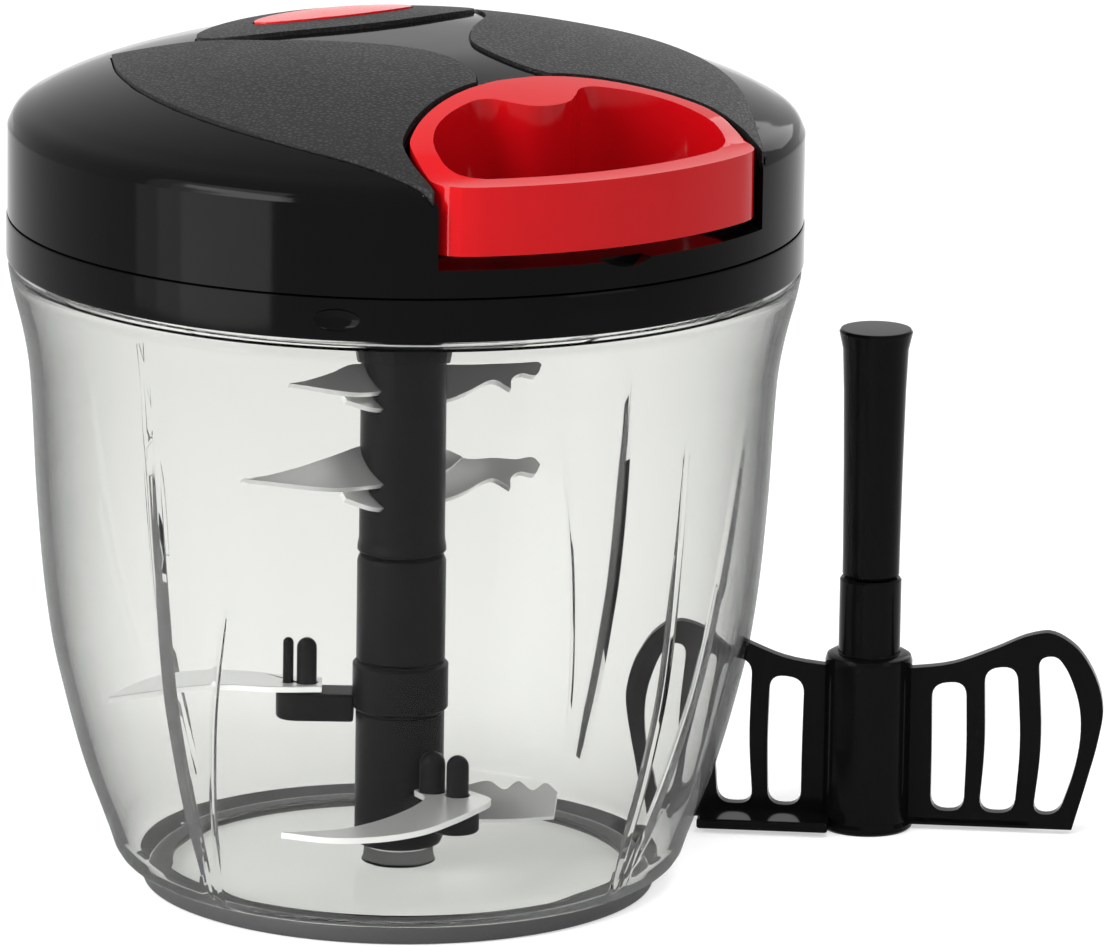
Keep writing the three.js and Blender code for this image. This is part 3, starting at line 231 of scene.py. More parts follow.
def softened(bm, width, segments=3, above=34):
    # rounds the edges that turn more than an angle
    bmesh.ops.remove_doubles(bm, verts=bm.verts[:], dist=0.02)
    bmesh.ops.dissolve_degenerate(bm, edges=bm.edges[:], dist=0.02)
    limit = math.radians(above)
    edges = [e for e in bm.edges if e.is_manifold and e.calc_face_angle(0) > limit]
    return bevelled(bm, edges, width, segments, True)


def placePiece(name, bm, body, material, nodes=(), sharp=40):
    bmesh.ops.scale(bm, verts=bm.verts[:], vec=(mm, mm, mm))
    mesh = meshOf(bm, name)
    mesh.shade_smooth()
    mesh.set_sharp_from_angle(angle=math.radians(sharp))
    mesh.materials.append(material)
    piece = inScene(name, mesh)
    evenNormals = piece.modifiers.new("evenNormals", "WEIGHTED_NORMAL")
    evenNormals.keep_sharp = True
    if body:
        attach(piece, body)
    if nodes:
        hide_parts(*nodes)
    return piece


# Camera: fitted to the lid's and the foot's ellipses in the photograph

cameraFit = {
    "position": (-940.2, -1440.2, 487.6), "target": (21.46, -14.48, 70.25),
    "roll": 0.864, "lens": 340.8,
}


def makeCamera():
    place, aim = Vector(cameraFit["position"]) * mm, Vector(cameraFit["target"]) * mm
    roll = Matrix.Rotation(math.radians(cameraFit["roll"]), 3, "Z")
    turn = (aim - place).to_track_quat("-Z", "Y").to_matrix() @ roll
    data = bpy.data.cameras.new("photoCamera")
    data.lens = cameraFit["lens"]
    data.sensor_width = 36
    data.clip_start = 0.1
    data.clip_end = 20
    camera = inScene("photoCamera", data)
    camera.matrix_world = Matrix.Translation(place) @ turn.to_4x4()
    bpy.context.scene.camera = camera


makeCamera()
print("camera placed")


# Shader node groups that several finishes share

def newGroup(name, inputs, outputs):
    # a group of plain numbers, its two ends and the place on the piece
    group = bpy.data.node_groups.new(name, "ShaderNodeTree")
    for label, value in inputs.items():
        socket = group.interface.new_socket(
            name=label, in_out="INPUT", socket_type="NodeSocketFloat",
        )
        socket.default_value = value
    for label in outputs:
        group.interface.new_socket(name=label, in_out="OUTPUT", socket_type="NodeSocketFloat")
    given, result = group.nodes.new("NodeGroupInput"), group.nodes.new("NodeGroupOutput")
    return group, given.outputs, result.inputs, objectPlace(group)


def link(tree, source, target):
    # a plain value, or another node's output
    if isinstance(source, (int, float, tuple)):
        target.default_value = source
    else:
        tree.links.new(source, target)


def feed(tree, node, **values):
    # inputs by their labels, with _ for a space
    for label, value in values.items():
        link(tree, value, node.inputs[label.replace("_", " ")])


def newNode(tree, kind, *values, **labelled):
    node = tree.nodes.new("ShaderNode" + kind)
    for socket, value in zip(node.inputs, values):
        link(tree, value, socket)
    feed(tree, node, **labelled)
    return node


def objectPlace(tree):
    return newNode(tree, "TexCoord").outputs["Object"]


def surfaceNormal(tree):
    # the three parts of the surface's direction
    normal = newNode(tree, "NewGeometry").outputs["Normal"]
    return newNode(tree, "SeparateXYZ", normal).outputs


def mathNode(tree, operation, *values, clamp=False):
    node = newNode(tree, "Math", *values)
    node.operation = operation
    node.use_clamp = clamp
    return node.outputs[0]


def noiseNode(tree, vector, scale, detail=2.0, roughness=0.5):
    node = newNode(
        tree, "TexNoise", Detail=detail, Roughness=roughness, Scale=scale, Vector=vector,
    )
    return node.outputs["Fac"]


def rangeNode(tree, value, low, high, toLow, toHigh):
    return newNode(tree, "MapRange", value, low, high, toLow, toHigh).outputs[0]


def makeMouldedFinish():
    # small uneven gloss and a faint moulded ripple
    group, given, result, place = newGroup(
        "mouldedFinish", {"Scale": 120.0, "Smoothest": 0.06, "Roughest": 0.14},
        ("Roughness", "Ripple", "Patch"),
    )
    patch = noiseNode(group, place, given["Scale"], 4, 0.6)
    fine = noiseNode(group, place, mathNode(group, "MULTIPLY", given["Scale"], 14.0), 2)
    both = mathNode(group, "MULTIPLY_ADD", fine, 0.35, mathNode(group, "MULTIPLY", patch, 0.65))
    gloss = rangeNode(group, both, 0.3, 0.7, given["Smoothest"], given["Roughest"])
    ripple = noiseNode(group, place, mathNode(group, "MULTIPLY", given["Scale"], 4.0), 1)
    link(group, gloss, result["Roughness"])
    link(group, ripple, result["Ripple"])
    link(group, patch, result["Patch"])
    return group


def makeLeatherGrain():
    # rounded pebbles with creases between them, as on a textured moulding; the crease mask darkens
    # the colour in the creases as painted shade
    group, given, result, place = newGroup("leatherGrain", {"Scale": 1500.0}, ("Height", "CreaseShade"))
    cells = newNode(group, "TexVoronoi", Vector=place, Scale=given["Scale"])
    cells.feature = "DISTANCE_TO_EDGE"
    pebble = rangeNode(group, cells.outputs["Distance"], 0.0, 0.32, 0.0, 1.0)
    rough = noiseNode(group, place, mathNode(group, "MULTIPLY", given["Scale"], 1.7), 2)
    height = mathNode(group, "MULTIPLY_ADD", rough, 0.45, mathNode(group, "MULTIPLY", pebble, 0.7))
    link(group, height, result["Height"])
    link(group, mathNode(group, "SUBTRACT", 1.0, pebble), result["CreaseShade"])
    return group


def makeBrushedGrain():
    # fine parallel lines along X with a soft cloud over them
    group, given, result, place = newGroup(
        "brushedGrain", {"Scale": 900.0, "Turn": 0.0}, ("Lines", "Cloud"),
    )
    spin = newNode(group, "VectorRotate", Vector=place, Angle=given["Turn"])
    spin.rotation_type = "Z_AXIS"
    stretch = newNode(group, "Mapping", Scale=(0.06, 1.0, 1.0), Vector=spin.outputs[0])
    lines = noiseNode(group, stretch.outputs[0], given["Scale"], 3, 0.7)
    link(group, lines, result["Lines"])
    link(group, noiseNode(group, place, 60.0, 2), result["Cloud"])
    return group


def makeHandledWear():
    # sparse hairline scratches and finger smears as masks
    group, given, result, place = newGroup("handledWear", {"Amount": 0.5}, ("Scratch", "Smear"))
    bend = newNode(
        group, "Mapping", Rotation=(0.3, 0.7, 0.9), Scale=(1.0, 0.05, 1.0), Vector=place,
    )
    line = noiseNode(group, bend.outputs[0], 700.0, 1)
    scratch = rangeNode(group, line, 0.70, 0.74, 0.0, 1.0)
    smear = rangeNode(group, noiseNode(group, place, 34.0, 3, 0.6), 0.45, 0.7, 0.0, 1.0)
    link(group, mathNode(group, "MULTIPLY", scratch, given["Amount"]), result["Scratch"])
    link(group, mathNode(group, "MULTIPLY", smear, given["Amount"]), result["Smear"])
    return group


def makeDustFilm():
    # thin dust that lies where the surface looks up
    group, given, result, place = newGroup("dustFilm", {"Amount": 0.1}, ("Mask",))
    up = rangeNode(group, surfaceNormal(group)["Z"], 0.5, 1.0, 0.0, 1.0)
    spots = rangeNode(group, noiseNode(group, place, 2600.0, 1), 0.55, 0.75, 0.15, 1.0)
    mask = mathNode(group, "MULTIPLY", mathNode(group, "MULTIPLY", up, spots), given["Amount"])
    link(group, mask, result["Mask"])
    return group


mouldedFinish = makeMouldedFinish()
leatherGrain = makeLeatherGrain()
brushedGrain = makeBrushedGrain()
handledWear = makeHandledWear()
dustFilm = makeDustFilm()


def useGroup(tree, group, **values):
    node = newNode(tree, "Group")
    node.node_tree = group
    feed(tree, node, **values)
    return node.outputs


def newMaterial(name):
    material = bpy.data.materials.new(name)
    material.use_nodes = True
    tree = material.node_tree
    return material, tree, tree.nodes["Principled BSDF"]


def mixColour(tree, factor, first, second):
    node = newNode(tree, "Mix")
    node.data_type = "RGBA"
    link(tree, factor, node.inputs["Factor"])
    colours = [socket for socket in node.inputs if socket.type == "RGBA"]
    for socket, value in zip(colours, (first, second)):
        link(tree, value, socket)
    return [socket for socket in node.outputs if socket.type == "RGBA"][0]


def bumpInto(tree, shader, height, strength, distance):
    bump = newNode(tree, "Bump", Strength=strength, Distance=distance, Height=height)
    feed(tree, shader, Normal=bump.outputs["Normal"])


def dustedColour(tree, shader, share, first, second, amount, dustColour):
    tone = mixColour(tree, share, first, second)
    dust = useGroup(tree, dustFilm, Amount=amount)
    feed(tree, shader, Base_Color=mixColour(tree, dust["Mask"], tone, dustColour))


def glossPlastic(name, values):
    # moulded plastic: uneven gloss, faint ripple, dust and handling marks
    material, tree, shader = newMaterial(name)
    finish = useGroup(
        tree, mouldedFinish, Scale=110.0,
        Smoothest=values["smoothest"], Roughest=values["roughest"],
    )
    wear = useGroup(tree, handledWear, Amount=values.get("wear", 0.4))
    dustedColour(
        tree, shader, finish["Patch"], values["colour"], values["deeper"],
        values.get("dust", 0.0), (0.35, 0.34, 0.33, 1),
    )
    marks = mathNode(tree, "MULTIPLY_ADD", wear["Scratch"], 0.12, finish["Roughness"])
    marks = mathNode(tree, "MULTIPLY_ADD", wear["Smear"], 0.03, marks)
    shine = values.get("specular", 0.5)
    feed(tree, shader, Roughness=marks, IOR=1.46, Specular_IOR_Level=shine)
    bumpInto(tree, shader, finish["Ripple"], values.get("ripple", 0.04), 0.0002)
    return material


finishes = {
    "glossBlack": {
        "colour": (0.0035, 0.0035, 0.0037, 1), "deeper": (0.0025, 0.0025, 0.0027, 1),
        "smoothest": 0.06, "roughest": 0.1, "specular": 0.05, "ripple": 0.015, "wear": 0.2,
    },
    "shaftBlack": {
        "colour": (0.006, 0.006, 0.0063, 1), "deeper": (0.004, 0.004, 0.0043, 1),
        "smoothest": 0.3, "roughest": 0.33, "specular": 0.06, "ripple": 0.0, "wear": 0.1,
    },
    "paddleBlack": {
        "colour": (0.004, 0.004, 0.0042, 1), "deeper": (0.003, 0.003, 0.0032, 1),
        "smoothest": 0.12, "roughest": 0.16, "specular": 0.05, "ripple": 0.02,
    },
    "handleRed": {
        "colour": (0.53, 0.0035, 0.007, 1), "deeper": (0.47, 0.0025, 0.005, 1),
        "smoothest": 0.07, "roughest": 0.1, "specular": 0.16, "ripple": 0.02,
    },
    "badgeRed": {
        "colour": (0.66, 0.008, 0.014, 1), "deeper": (0.6, 0.006, 0.01, 1),
        "smoothest": 0.12, "roughest": 0.2, "specular": 0.2, "dust": 0.004,
    },
    "whiteNylon": {
        "colour": (0.72, 0.71, 0.66, 1), "deeper": (0.62, 0.61, 0.56, 1),
        "smoothest": 0.35, "roughest": 0.5, "ripple": 0.12, "dust": 0.05,
    },
}

glossBlack, shaftBlack, paddleBlack, handleRed, badgeRed, whiteNylon = (
    glossPlastic(name, values) for name, values in finishes.items()
)

grainedValues = {
    # crease is a painted shade colour for the grain's creases
    "colour": (0.014, 0.014, 0.0145, 1), "crease": (0.005, 0.005, 0.0055, 1),
    "scale": 1150.0, "strength": 0.5, "distance": 0.00012,
}


def makeGrainedBlack():
    material, tree, shader = newMaterial("grainedBlack")
    grain = useGroup(tree, leatherGrain, Scale=grainedValues["scale"])
    wear = useGroup(tree, handledWear, Amount=0.5)
    values = grainedValues
    # the colour is painted darker in the grain's creases as painted shade, with real dust over it
    dustedColour(
        tree, shader, grain["CreaseShade"], values["colour"], values["crease"], 0.02, (0.3, 0.3, 0.3, 1),
    )
    rough = rangeNode(tree, grain["Height"], 0.2, 0.9, 0.62, 0.46)
    rough = mathNode(tree, "MULTIPLY_ADD", wear["Smear"], -0.05, rough)
    feed(tree, shader, Roughness=rough, Specular_IOR_Level=0.2)
    bumpInto(tree, shader, grain["Height"], values["strength"], values["distance"])
    return material


rubberValues = {"colour": (0.034, 0.034, 0.035, 1), "pale": (0.05, 0.05, 0.052, 1)}


def makeRubber(name, colour, pale):
    material, tree, shader = newMaterial(name)
    finish = useGroup(tree, mouldedFinish, Scale=300.0, Smoothest=0.55, Roughest=0.75)
    dustedColour(tree, shader, finish["Patch"], colour, pale, 0.1, (0.4, 0.39, 0.37, 1))
    feed(tree, shader, Roughness=finish["Roughness"])
    bumpInto(tree, shader, finish["Ripple"], 0.25, 0.0002)
    return material


steelValues = {"light": (0.93, 0.93, 0.92, 1), "dark": (0.84, 0.84, 0.84, 1)}


def makeSteel(name, light, dark, roughLow, roughHigh, turn=0.0):
    material, tree, shader = newMaterial(name)
    grain = useGroup(tree, brushedGrain, Scale=2600.0, Turn=turn)
    wear = useGroup(tree, handledWear, Amount=0.6)
    tone = mixColour(tree, grain["Cloud"], light, dark)
    rough = rangeNode(tree, grain["Lines"], 0.3, 0.7, roughLow, roughHigh)
    rough = mathNode(tree, "MULTIPLY_ADD", wear["Scratch"], 0.1, rough)
    feed(tree, shader, Base_Color=tone, Metallic=0.6, Roughness=rough)
    bumpInto(tree, shader, grain["Lines"], 0.01, 0.00002)
    return material


clearValues = {
    # edge, thinEdge and rim are painted shade: the wall is painted darker where the eye looks along
    # it
    "face": (0.815, 0.82, 0.803, 1), "edge": (0.18, 0.19, 0.185, 1), "deepening": 3.8,
    "thinFace": (0.893, 0.896, 0.886, 1), "thinEdge": (0.42, 0.436, 0.43, 1), "gleam": 0.14,
    "rim": (0.6, 0.61, 0.6, 1), "rimGain": 1.3, "rimMost": 0.85,
    "ior": 1.42, "shadow": (0.975, 0.98, 0.975, 1),
}


def mixShaders(tree, factor, first, second):
    return newNode(tree, "MixShader", factor, first.outputs[0], second.outputs[0])


def finishWith(tree, node):
    link(tree, node.outputs[0], tree.nodes["Material Output"].inputs["Surface"])


def makeClearPlastic():
    # clear moulding: an upright wall is painted darker where the eye looks along it, a painted
    # shade that stands in for reflected dark surroundings, and all gleams little
    values = clearValues
    material, tree, shader = newMaterial("clearPlastic")
    layer = newNode(tree, "LayerWeight", Blend=0.5).outputs
    # the mask of the painted shade on grazing walls
    facing = mathNode(tree, "POWER", layer["Facing"], values["deepening"])
    lying = mathNode(tree, "ABSOLUTE", surfaceNormal(tree)["Z"])
    facing = mathNode(tree, "MULTIPLY", facing, mathNode(tree, "SUBTRACT", 1.0, lying, clamp=True))
    feed(
        tree, shader, Base_Color=mixColour(tree, facing, values["face"], values["edge"]),
        Roughness=0.0, Transmission_Weight=1.0, IOR=values["ior"],
    )
    thin = mixColour(tree, facing, values["thinFace"], values["thinEdge"])
    bent = newNode(tree, "BsdfRefraction", Color=thin, Roughness=0.0, IOR=values["ior"])
    wall = mixShaders(tree, values["gleam"], bent, shader)
    # a grey see-through layer darkens the grazing wall further: painted shade
    paintedEdgeShade = newNode(tree, "BsdfTransparent", Color=values["rim"])
    rim = mathNode(tree, "MULTIPLY", facing, values["rimGain"])
    rim = mathNode(tree, "MINIMUM", rim, values["rimMost"])
    wall = mixShaders(tree, rim, wall, paintedEdgeShade)
    # shadows, light and reflections off the pieces inside pass the wall straight
    path = newNode(tree, "LightPath").outputs
    unseen = mathNode(tree, "MAXIMUM", path["Is Shadow Ray"], path["Is Diffuse Ray"])
    bounced = mathNode(
        tree, "SUBTRACT", path["Is Glossy Ray"], path["Is Transmission Ray"], clamp=True,
    )
    through = newNode(tree, "BsdfTransparent", Color=values["shadow"])
    straight = mathNode(tree, "MAXIMUM", unseen, bounced)
    finishWith(tree, mixShaders(tree, straight, wall, through))
    return material


def makeBraid():
    # cord: crossed strands from two slanted waves
    material, tree, shader = newMaterial("cordBraid")
    place = objectPlace(tree)
    strands = []
    for slant in (0.8, -0.8):
        turn = newNode(tree, "Mapping", Rotation=(slant, slant, 0), Vector=place)
        wave = newNode(tree, "TexWave", Scale=420.0, Vector=turn.outputs[0])
        strands.append(wave.outputs["Fac"])
    weave = mathNode(tree, "MAXIMUM", *strands)
    tone = mixColour(tree, weave, (0.012, 0.012, 0.012, 1), (0.05, 0.05, 0.05, 1))
    feed(tree, shader, Base_Color=tone, Roughness=0.8)
    bumpInto(tree, shader, weave, 0.6, 0.0002)
    return material


grainedBlack = makeGrainedBlack()
footRubber = makeRubber("footRubber", rubberValues["colour"], rubberValues["pale"])
sealRubber = makeRubber("sealRubber", (0.55, 0.55, 0.52, 1), (0.62, 0.62, 0.6, 1))
bladeSteel = makeSteel("bladeSteel", steelValues["light"], steelValues["dark"], 0.28, 0.33, 0.5)
plainSteel = makeSteel("plainSteel", (0.6, 0.6, 0.59, 1), (0.48, 0.48, 0.48, 1), 0.28, 0.42)
clearPlastic = makeClearPlastic()
cordBraid = makeBraid()
print("materials made")


# Bowl: one clear moulding with four creases down its wall and a pin on its floor

bowlSizes = {
    "outer": [
        (43.4, 3.3), (45.5, 3.7), (47.2, 5.0), (49.1, 9.5), (50.4, 13), (53, 20), (55.1, 27),
        (56.9, 34), (58.5, 40.9), (59.6, 47.9), (60.4, 54.8), (61.0, 61.8), (61.5, 68.7),
        (61.85, 75.6), (62.2, 82.5), (62.75, 89.4), (64.0, 96.2), (65.6, 102.5), (66.2, 105.6),
    ],
    "wall": 2.2, "wallSpan": (9, 105),
    "underside": [(0, 1.0), (38.3, 1.0), (38.3, 3.3)],
    "neck": [
        (66.2, 106.5), (65.9, 106.8), (61.9, 106.8), (61.9, 110.4), (61.5, 110.8), (60.1, 110.8),
        (59.7, 110.4), (59.7, 106.6), (60.0, 106.1), (62.6, 105.9), (63.5, 105.6),
    ],
    "floorAndPin": [
        (46.2, 6.9), (44.7, 5.1), (42.5, 3.75), (40.5, 3.4), (6.6, 3.4), (6.0, 3.7), (5.8, 5.9),
        (3.0, 5.9), (3.0, 19.4), (2.4, 20.5), (1.2, 21.0), (0, 21.0),
    ],
    "creaseAngles": (-164, -74, 16, 106), "creaseDepth": 1.1, "grooveDepth": 1.5,
    "creaseFoot": 6, "creaseTop": 86, "creaseWidths": (2.6, 16.6), "grooveWidths": (0.65, 0.3),
    "creaseTapers": (6, 2.6), "creaseFade": 0.65, "wallFrom": 43, "steps": 360,
}
# the lid's bayonet: four lugs on the bowl and four on the lid
lugSizes = {
    "angles": (45, 135, 225, 315), "width": 12,
    "bowl": (61.6, 63.9, 108.9, 110.3), "lid": (62.3, 64.6, 107.5, 108.6),
}


def bowlProfile():
    size = bowlSizes
    outer = smoothLine(size["outer"], 3)
    low, high = size["wallSpan"]
    inner = [(r - size["wall"], z) for r, z in outer if low < z < high]
    return size["underside"] + outer + size["neck"] + inner[::-1] + size["floorAndPin"]


def creasedPlace(column, height):
    # the angle past a crease's line, and the depth there, of one of the wall's columns
    size = bowlSizes
    rise = (height - size["creaseFoot"]) / (size["creaseTop"] - size["creaseFoot"])
    rise = min(max(rise, 0), 1)
    width, groove = (
        foot + (top - foot) * rise for foot, top in (size["creaseWidths"], size["grooveWidths"])
    )
    rising, falling = size["creaseTapers"]
    taper = min(1, rising * rise, falling * (1 - rise))
    stations = [
        (-8, -8), (-1, -groove), (0, 0), (1, groove), (16, width), (17, width + 0.6), (45, 45),
    ]
    for (c0, a0), (c1, a1) in zip(stations, stations[1:]):
        if c0 <= column <= c1:
            past = a0 + (a1 - a0) * (column - c0) / (c1 - c0)
    if column == 0:
        return past, size["grooveDepth"] * taper
    if 1 <= column <= 16:
        return past, size["creaseDepth"] * taper * (1 - size["creaseFade"] * (column - 1) / 15)
    return past, 0


def makeBowl():
    # each crease is a groove with a shallow wedge beside it that widens upward
    size = bowlSizes
    bm = spunSolid(bowlProfile(), size["steps"], closed=False)
    turned(bm, size["creaseAngles"][0])
    for vert in bm.verts:
        radius = math.hypot(vert.co.x, vert.co.y)
        if radius < size["wallFrom"]:
            continue
        angle = math.degrees(math.atan2(vert.co.y, vert.co.x))
        for start in size["creaseAngles"]:
            column = round((angle - start + 45) % 360 - 45)
            if -8 <= column <= 45:
                past, depth = creasedPlace(column, vert.co.z)
                turn = math.radians(start + past)
                vert.co.x = (radius - depth) * math.cos(turn)
                vert.co.y = (radius - depth) * math.sin(turn)
                break
    bm = joined(bm, *lugs("bowl"))
    placePiece("bowlShell", bm, "bowl", clearPlastic, ("bowl",), sharp=30)


def lugs(side):
    inner, outer, low, high = lugSizes[side]
    return [sectorBlock(inner, outer, centre, low, high) for centre in lugSizes["angles"]]


def sectorBlock(inner, outer, centre, low, high):
    # a short piece of a ring, spun from its upright section
    width = lugSizes["width"]
    bm = bmesh.new()
    corners = [(inner, low), (outer, low), (outer, high), (inner, high)]
    face = bm.faces.new([bm.verts.new((r, 0, z)) for r, z in corners])
    turned(bm, centre - width / 2)
    bmesh.ops.spin(
        bm, geom=[face] + face.edges[:] + face.verts[:], cent=(0, 0, 0), axis=(0, 0, 1),
        angle=math.radians(width), steps=8, use_merge=False, use_duplicate=False,
    )
    bmesh.ops.holes_fill(bm, edges=[e for e in bm.edges if e.is_boundary], sides=0)
    bmesh.ops.recalc_face_normals(bm, faces=bm.faces[:])
    return bm


footRingSizes = {
    "section": [
        (42.5, 0), (43.13, 0.27), (43.4, 0.9), (43.4, 2.55), (43.22, 2.9), (42.86, 3.0),
        (38.8, 3.0), (38.6, 2.8), (38.6, 0.5), (39.1, 0), (40.4, 0), (40.7, 0.35), (41.1, 0.35),
        (41.4, 0),
    ],
}


def makeFootRing():
    bm = spunSolid(footRingSizes["section"])
    placePiece("footRing", bm, "bowl", footRubber, ("foot_ring",))


makeBowl()
makeFootRing()
print("bowl made")


# Lid: a band with its disc, and over it the domed housing with panels, cap and badge

lidSizes = {
    "base": [
        (66.15, 107.5), (66.5325, 107.635), (66.6, 107.95), (66.6, 114.15), (66.465, 114.51),
        (65.97, 114.6), (63.0, 114.6), (63.0, 117.3), (61.6, 117.3), (61.6, 114.9), (12.4, 114.9),
        (12.4, 115.4), (10.0, 115.4), (10.0, 108.9), (12.4, 108.9), (12.4, 112.9), (64.4, 112.9),
        (64.4, 107.8), (64.7, 107.5),
    ],
    "housingFoot": 114.9, "radius": 66.4, "wall": 2.2, "round": 0.32, "steps": 256,
    "dome": [
        (66.4, 129.5), (65.4, 131.5), (61.75, 133.9), (57.1, 136.0), (50.5, 138.3), (42.5, 140.5),
        (33.2, 142.6), (21.2, 144.15), (8.0, 144.57), (0, 144.6),
    ],
    # heights that tools start from or end at
    "under": 120, "bedFloor": 129, "over": 155,
    "mark": {"radius": 66.75, "height": 111.05, "angle": -132.6, "halves": (1.0, 4.0, 1.9)},
    "posts": {"radius": 28.6, "angles": (90, 210, 330), "size": (3.0, 1.4, 114.7, 136.1)},
}


def domeChain(over, low):
    # from the wall's foot up over the dome to the axis, moved out by a distance
    radius = lidSizes["radius"]
    line = smoothLine(lidSizes["dome"], 5)
    line[-1] = (0, line[-1][1])
    return [(radius + over, low)] + [
        (max(0, r + over * r / radius), z + over * (1 - 0.3 * r / radius)) for r, z in line
    ]


def domeSolid(over, low):
    return spunSolid([(0, low)] + domeChain(over, low), lidSizes["steps"], closed=False)


def domeLayer(over, under, low):
    inside = list(reversed(domeChain(under, low)))
    return spunSolid(inside + domeChain(over, low), lidSizes["steps"], closed=False)


def makeLidBase():
    size = lidSizes
    bm = spunSolid(size["base"], size["steps"])
    mark, posts = size["mark"], size["posts"]
    tool = bmesh.new()
    bmesh.ops.create_uvsphere(tool, u_segments=48, v_segments=24, radius=1)
    bmesh.ops.scale(tool, verts=tool.verts[:], vec=mark["halves"])
    bm = cut(bm, turned(moved(tool, mark["radius"], 0, mark["height"]), mark["angle"]))
    for x, y in ringPlaces(posts["radius"], posts["angles"]):
        bm = joined(bm, spunPost(x, y, *posts["size"]))
    bm = joined(bm, *lugs("lid"))
    placePiece("lidBand", bm, "lid", glossBlack, ("lid_base",), sharp=34)


def ringPlaces(radius, angles):
    return [
        (radius * math.cos(math.radians(a)), radius * math.sin(math.radians(a))) for a in angles
    ]


def spunPost(x, y, outer, inner, low, high):
    profile = [(outer, low), (outer, high - 0.3), (outer - 0.3, high), (inner, high), (inner, low)]
    return moved(spunSolid(profile, 32), x, y, 0)


handleSizes = {
    "bottom": 121.7, "faceRadius": 66.5, "faceHalf": 26.3, "frontBar": 4.2, "round": 1.5,
    "side": [
        (28.3, -59.9), (29.9, -58.2), (30.8, -55.6), (30.8, -52.9), (30.3, -49.3), (28.9, -45.3),
        (26.4, -42.6), (21.1, -38.5), (15.2, -35.4), (10.0, -33.6), (3.7, -32.3),
    ],
    "holeHalf": 22.5,
    "hole": [
        (24.5, -56.9), (26.2, -55.2), (27.0, -52.9), (26.9, -51.0), (26.0, -48.0), (23.3, -44.0),
        (20.0, -41.3), (14.8, -38.8), (11.2, -37.9), (8.6, -38.5), (6.3, -40.7), (3.4, -42.9),
    ],
    "bossNose": -43.5, "bossCentre": -37.0,
    "topFoot": 118, "knee": [(67.5, 133.0), (64.5, 133.15), (62.3, 133.5), (60.0, 134.9)],
    "curveFrom": 57.7, "proud": 0.5,
}
cordSizes = {
    "height": 131.1, "radius": 1.0, "span": (-37.0, -28.0), "pieces": 8,
    "handleBore": 1.5, "wallBore": 2.9, "wallPlace": -30.4,
}
pocketSizes = {
    "floor": 119.4, "floorThickness": 1.8, "clearance": 0.9, "wall": 1.8, "front": -53.3,
    "mouth": -80.0, "inset": 0.2, "notchRadius": 9, "notchDepth": 1.2,
}


def faceArc(radius, half, count):
    reach = math.asin(half / radius)
    turns = [reach * (2 * i / count - 1) for i in range(count + 1)]
    return [(radius * math.sin(turn), -radius * math.cos(turn)) for turn in turns]


def handleOutline():
    size = handleSizes
    side = smoothLine(size["side"], 5)
    return faceArc(size["faceRadius"], size["faceHalf"], 32) + side + mirroredLoop(side)


def handleHole():
    # the boss for the cord's knot bulges into the hole's back edge
    size = handleSizes
    side = size["hole"] + [(0, size["bossNose"])] + mirroredLoop(size["hole"])
    front = faceArc(size["faceRadius"] - size["frontBar"], size["holeHalf"], 24)
    return front + smoothLine(side, 5)


def handleTop():
    # level along the front bar, then the dome's own curve
    size = handleSizes
    foot, knee = size["topFoot"], size["knee"]
    rest = [place for place in domeChain(size["proud"], foot) if place[0] < size["curveFrom"]]
    profile = [(0, foot), (knee[0][0], foot)] + knee + rest
    return spunSolid(profile, lidSizes["steps"], closed=False)


def pocketOutline(extra):
    # the handle's outline, grown; the face's long arc gives way to a wide mouth
    size = pocketSizes
    points = offsetLoop(handleOutline(), size["clearance"] + extra)
    front = [p for p in points if p[1] < size["front"]]
    keep = (min(front), max(front))
    return [
        (x, size["mouth"]) if y < size["front"] else (x, y)
        for x, y in points if y >= size["front"] or (x, y) in keep
    ]


panelSizes = {
    "proud": 0.6, "thickness": 1.5, "bed": 1.2, "gap": 0.3, "round": 0.4,
    "outline": [
        (-36, 35.3, 1), (-43.9, 20), (-48.9, 1.3), (-48.6, -17.3), (-44.2, -33), (-38.6, -44.6),
        (-35.2, -51.4), (-32.4, -57.4, 1), (-31.2, -57.4), (-30.8, -53.3), (-28.4, -46),
        (-20, -39.3), (-8.7, -34, 1), (-5.2, -28), (-4.1, -20), (-5.3, -12), (-11.3, -2.2),
        (-21.3, 8.7), (-28, 22),
    ],
}
capSizes = {
    "centre": 22, "halfLength": 26.5, "halfWidth": 12.5, "proud": 0.8, "bed": 1.2, "gap": 0.3,
    "round": 0.55,
}
badgeSizes = {
    "centre": 23, "halfLength": 15.2, "halfWidth": 6, "proud": 0.3, "depth": 0.9, "gap": 0.3,
    "round": 0.35,
}


def ovalLoop(size, extra=0.0):
    bm = bmesh.new()
    bmesh.ops.create_circle(bm, segments=96, radius=1)
    length, width = size["halfLength"] + extra, size["halfWidth"] + extra
    points = [(v.co.x * length, v.co.y * width + size["centre"]) for v in bm.verts]
    bm.free()
    return points


def panelLoop(extra=0.0):
    loop = smoothLine(panelSizes["outline"], 6, closed=True)
    return offsetLoop(loop, extra) if extra else loop


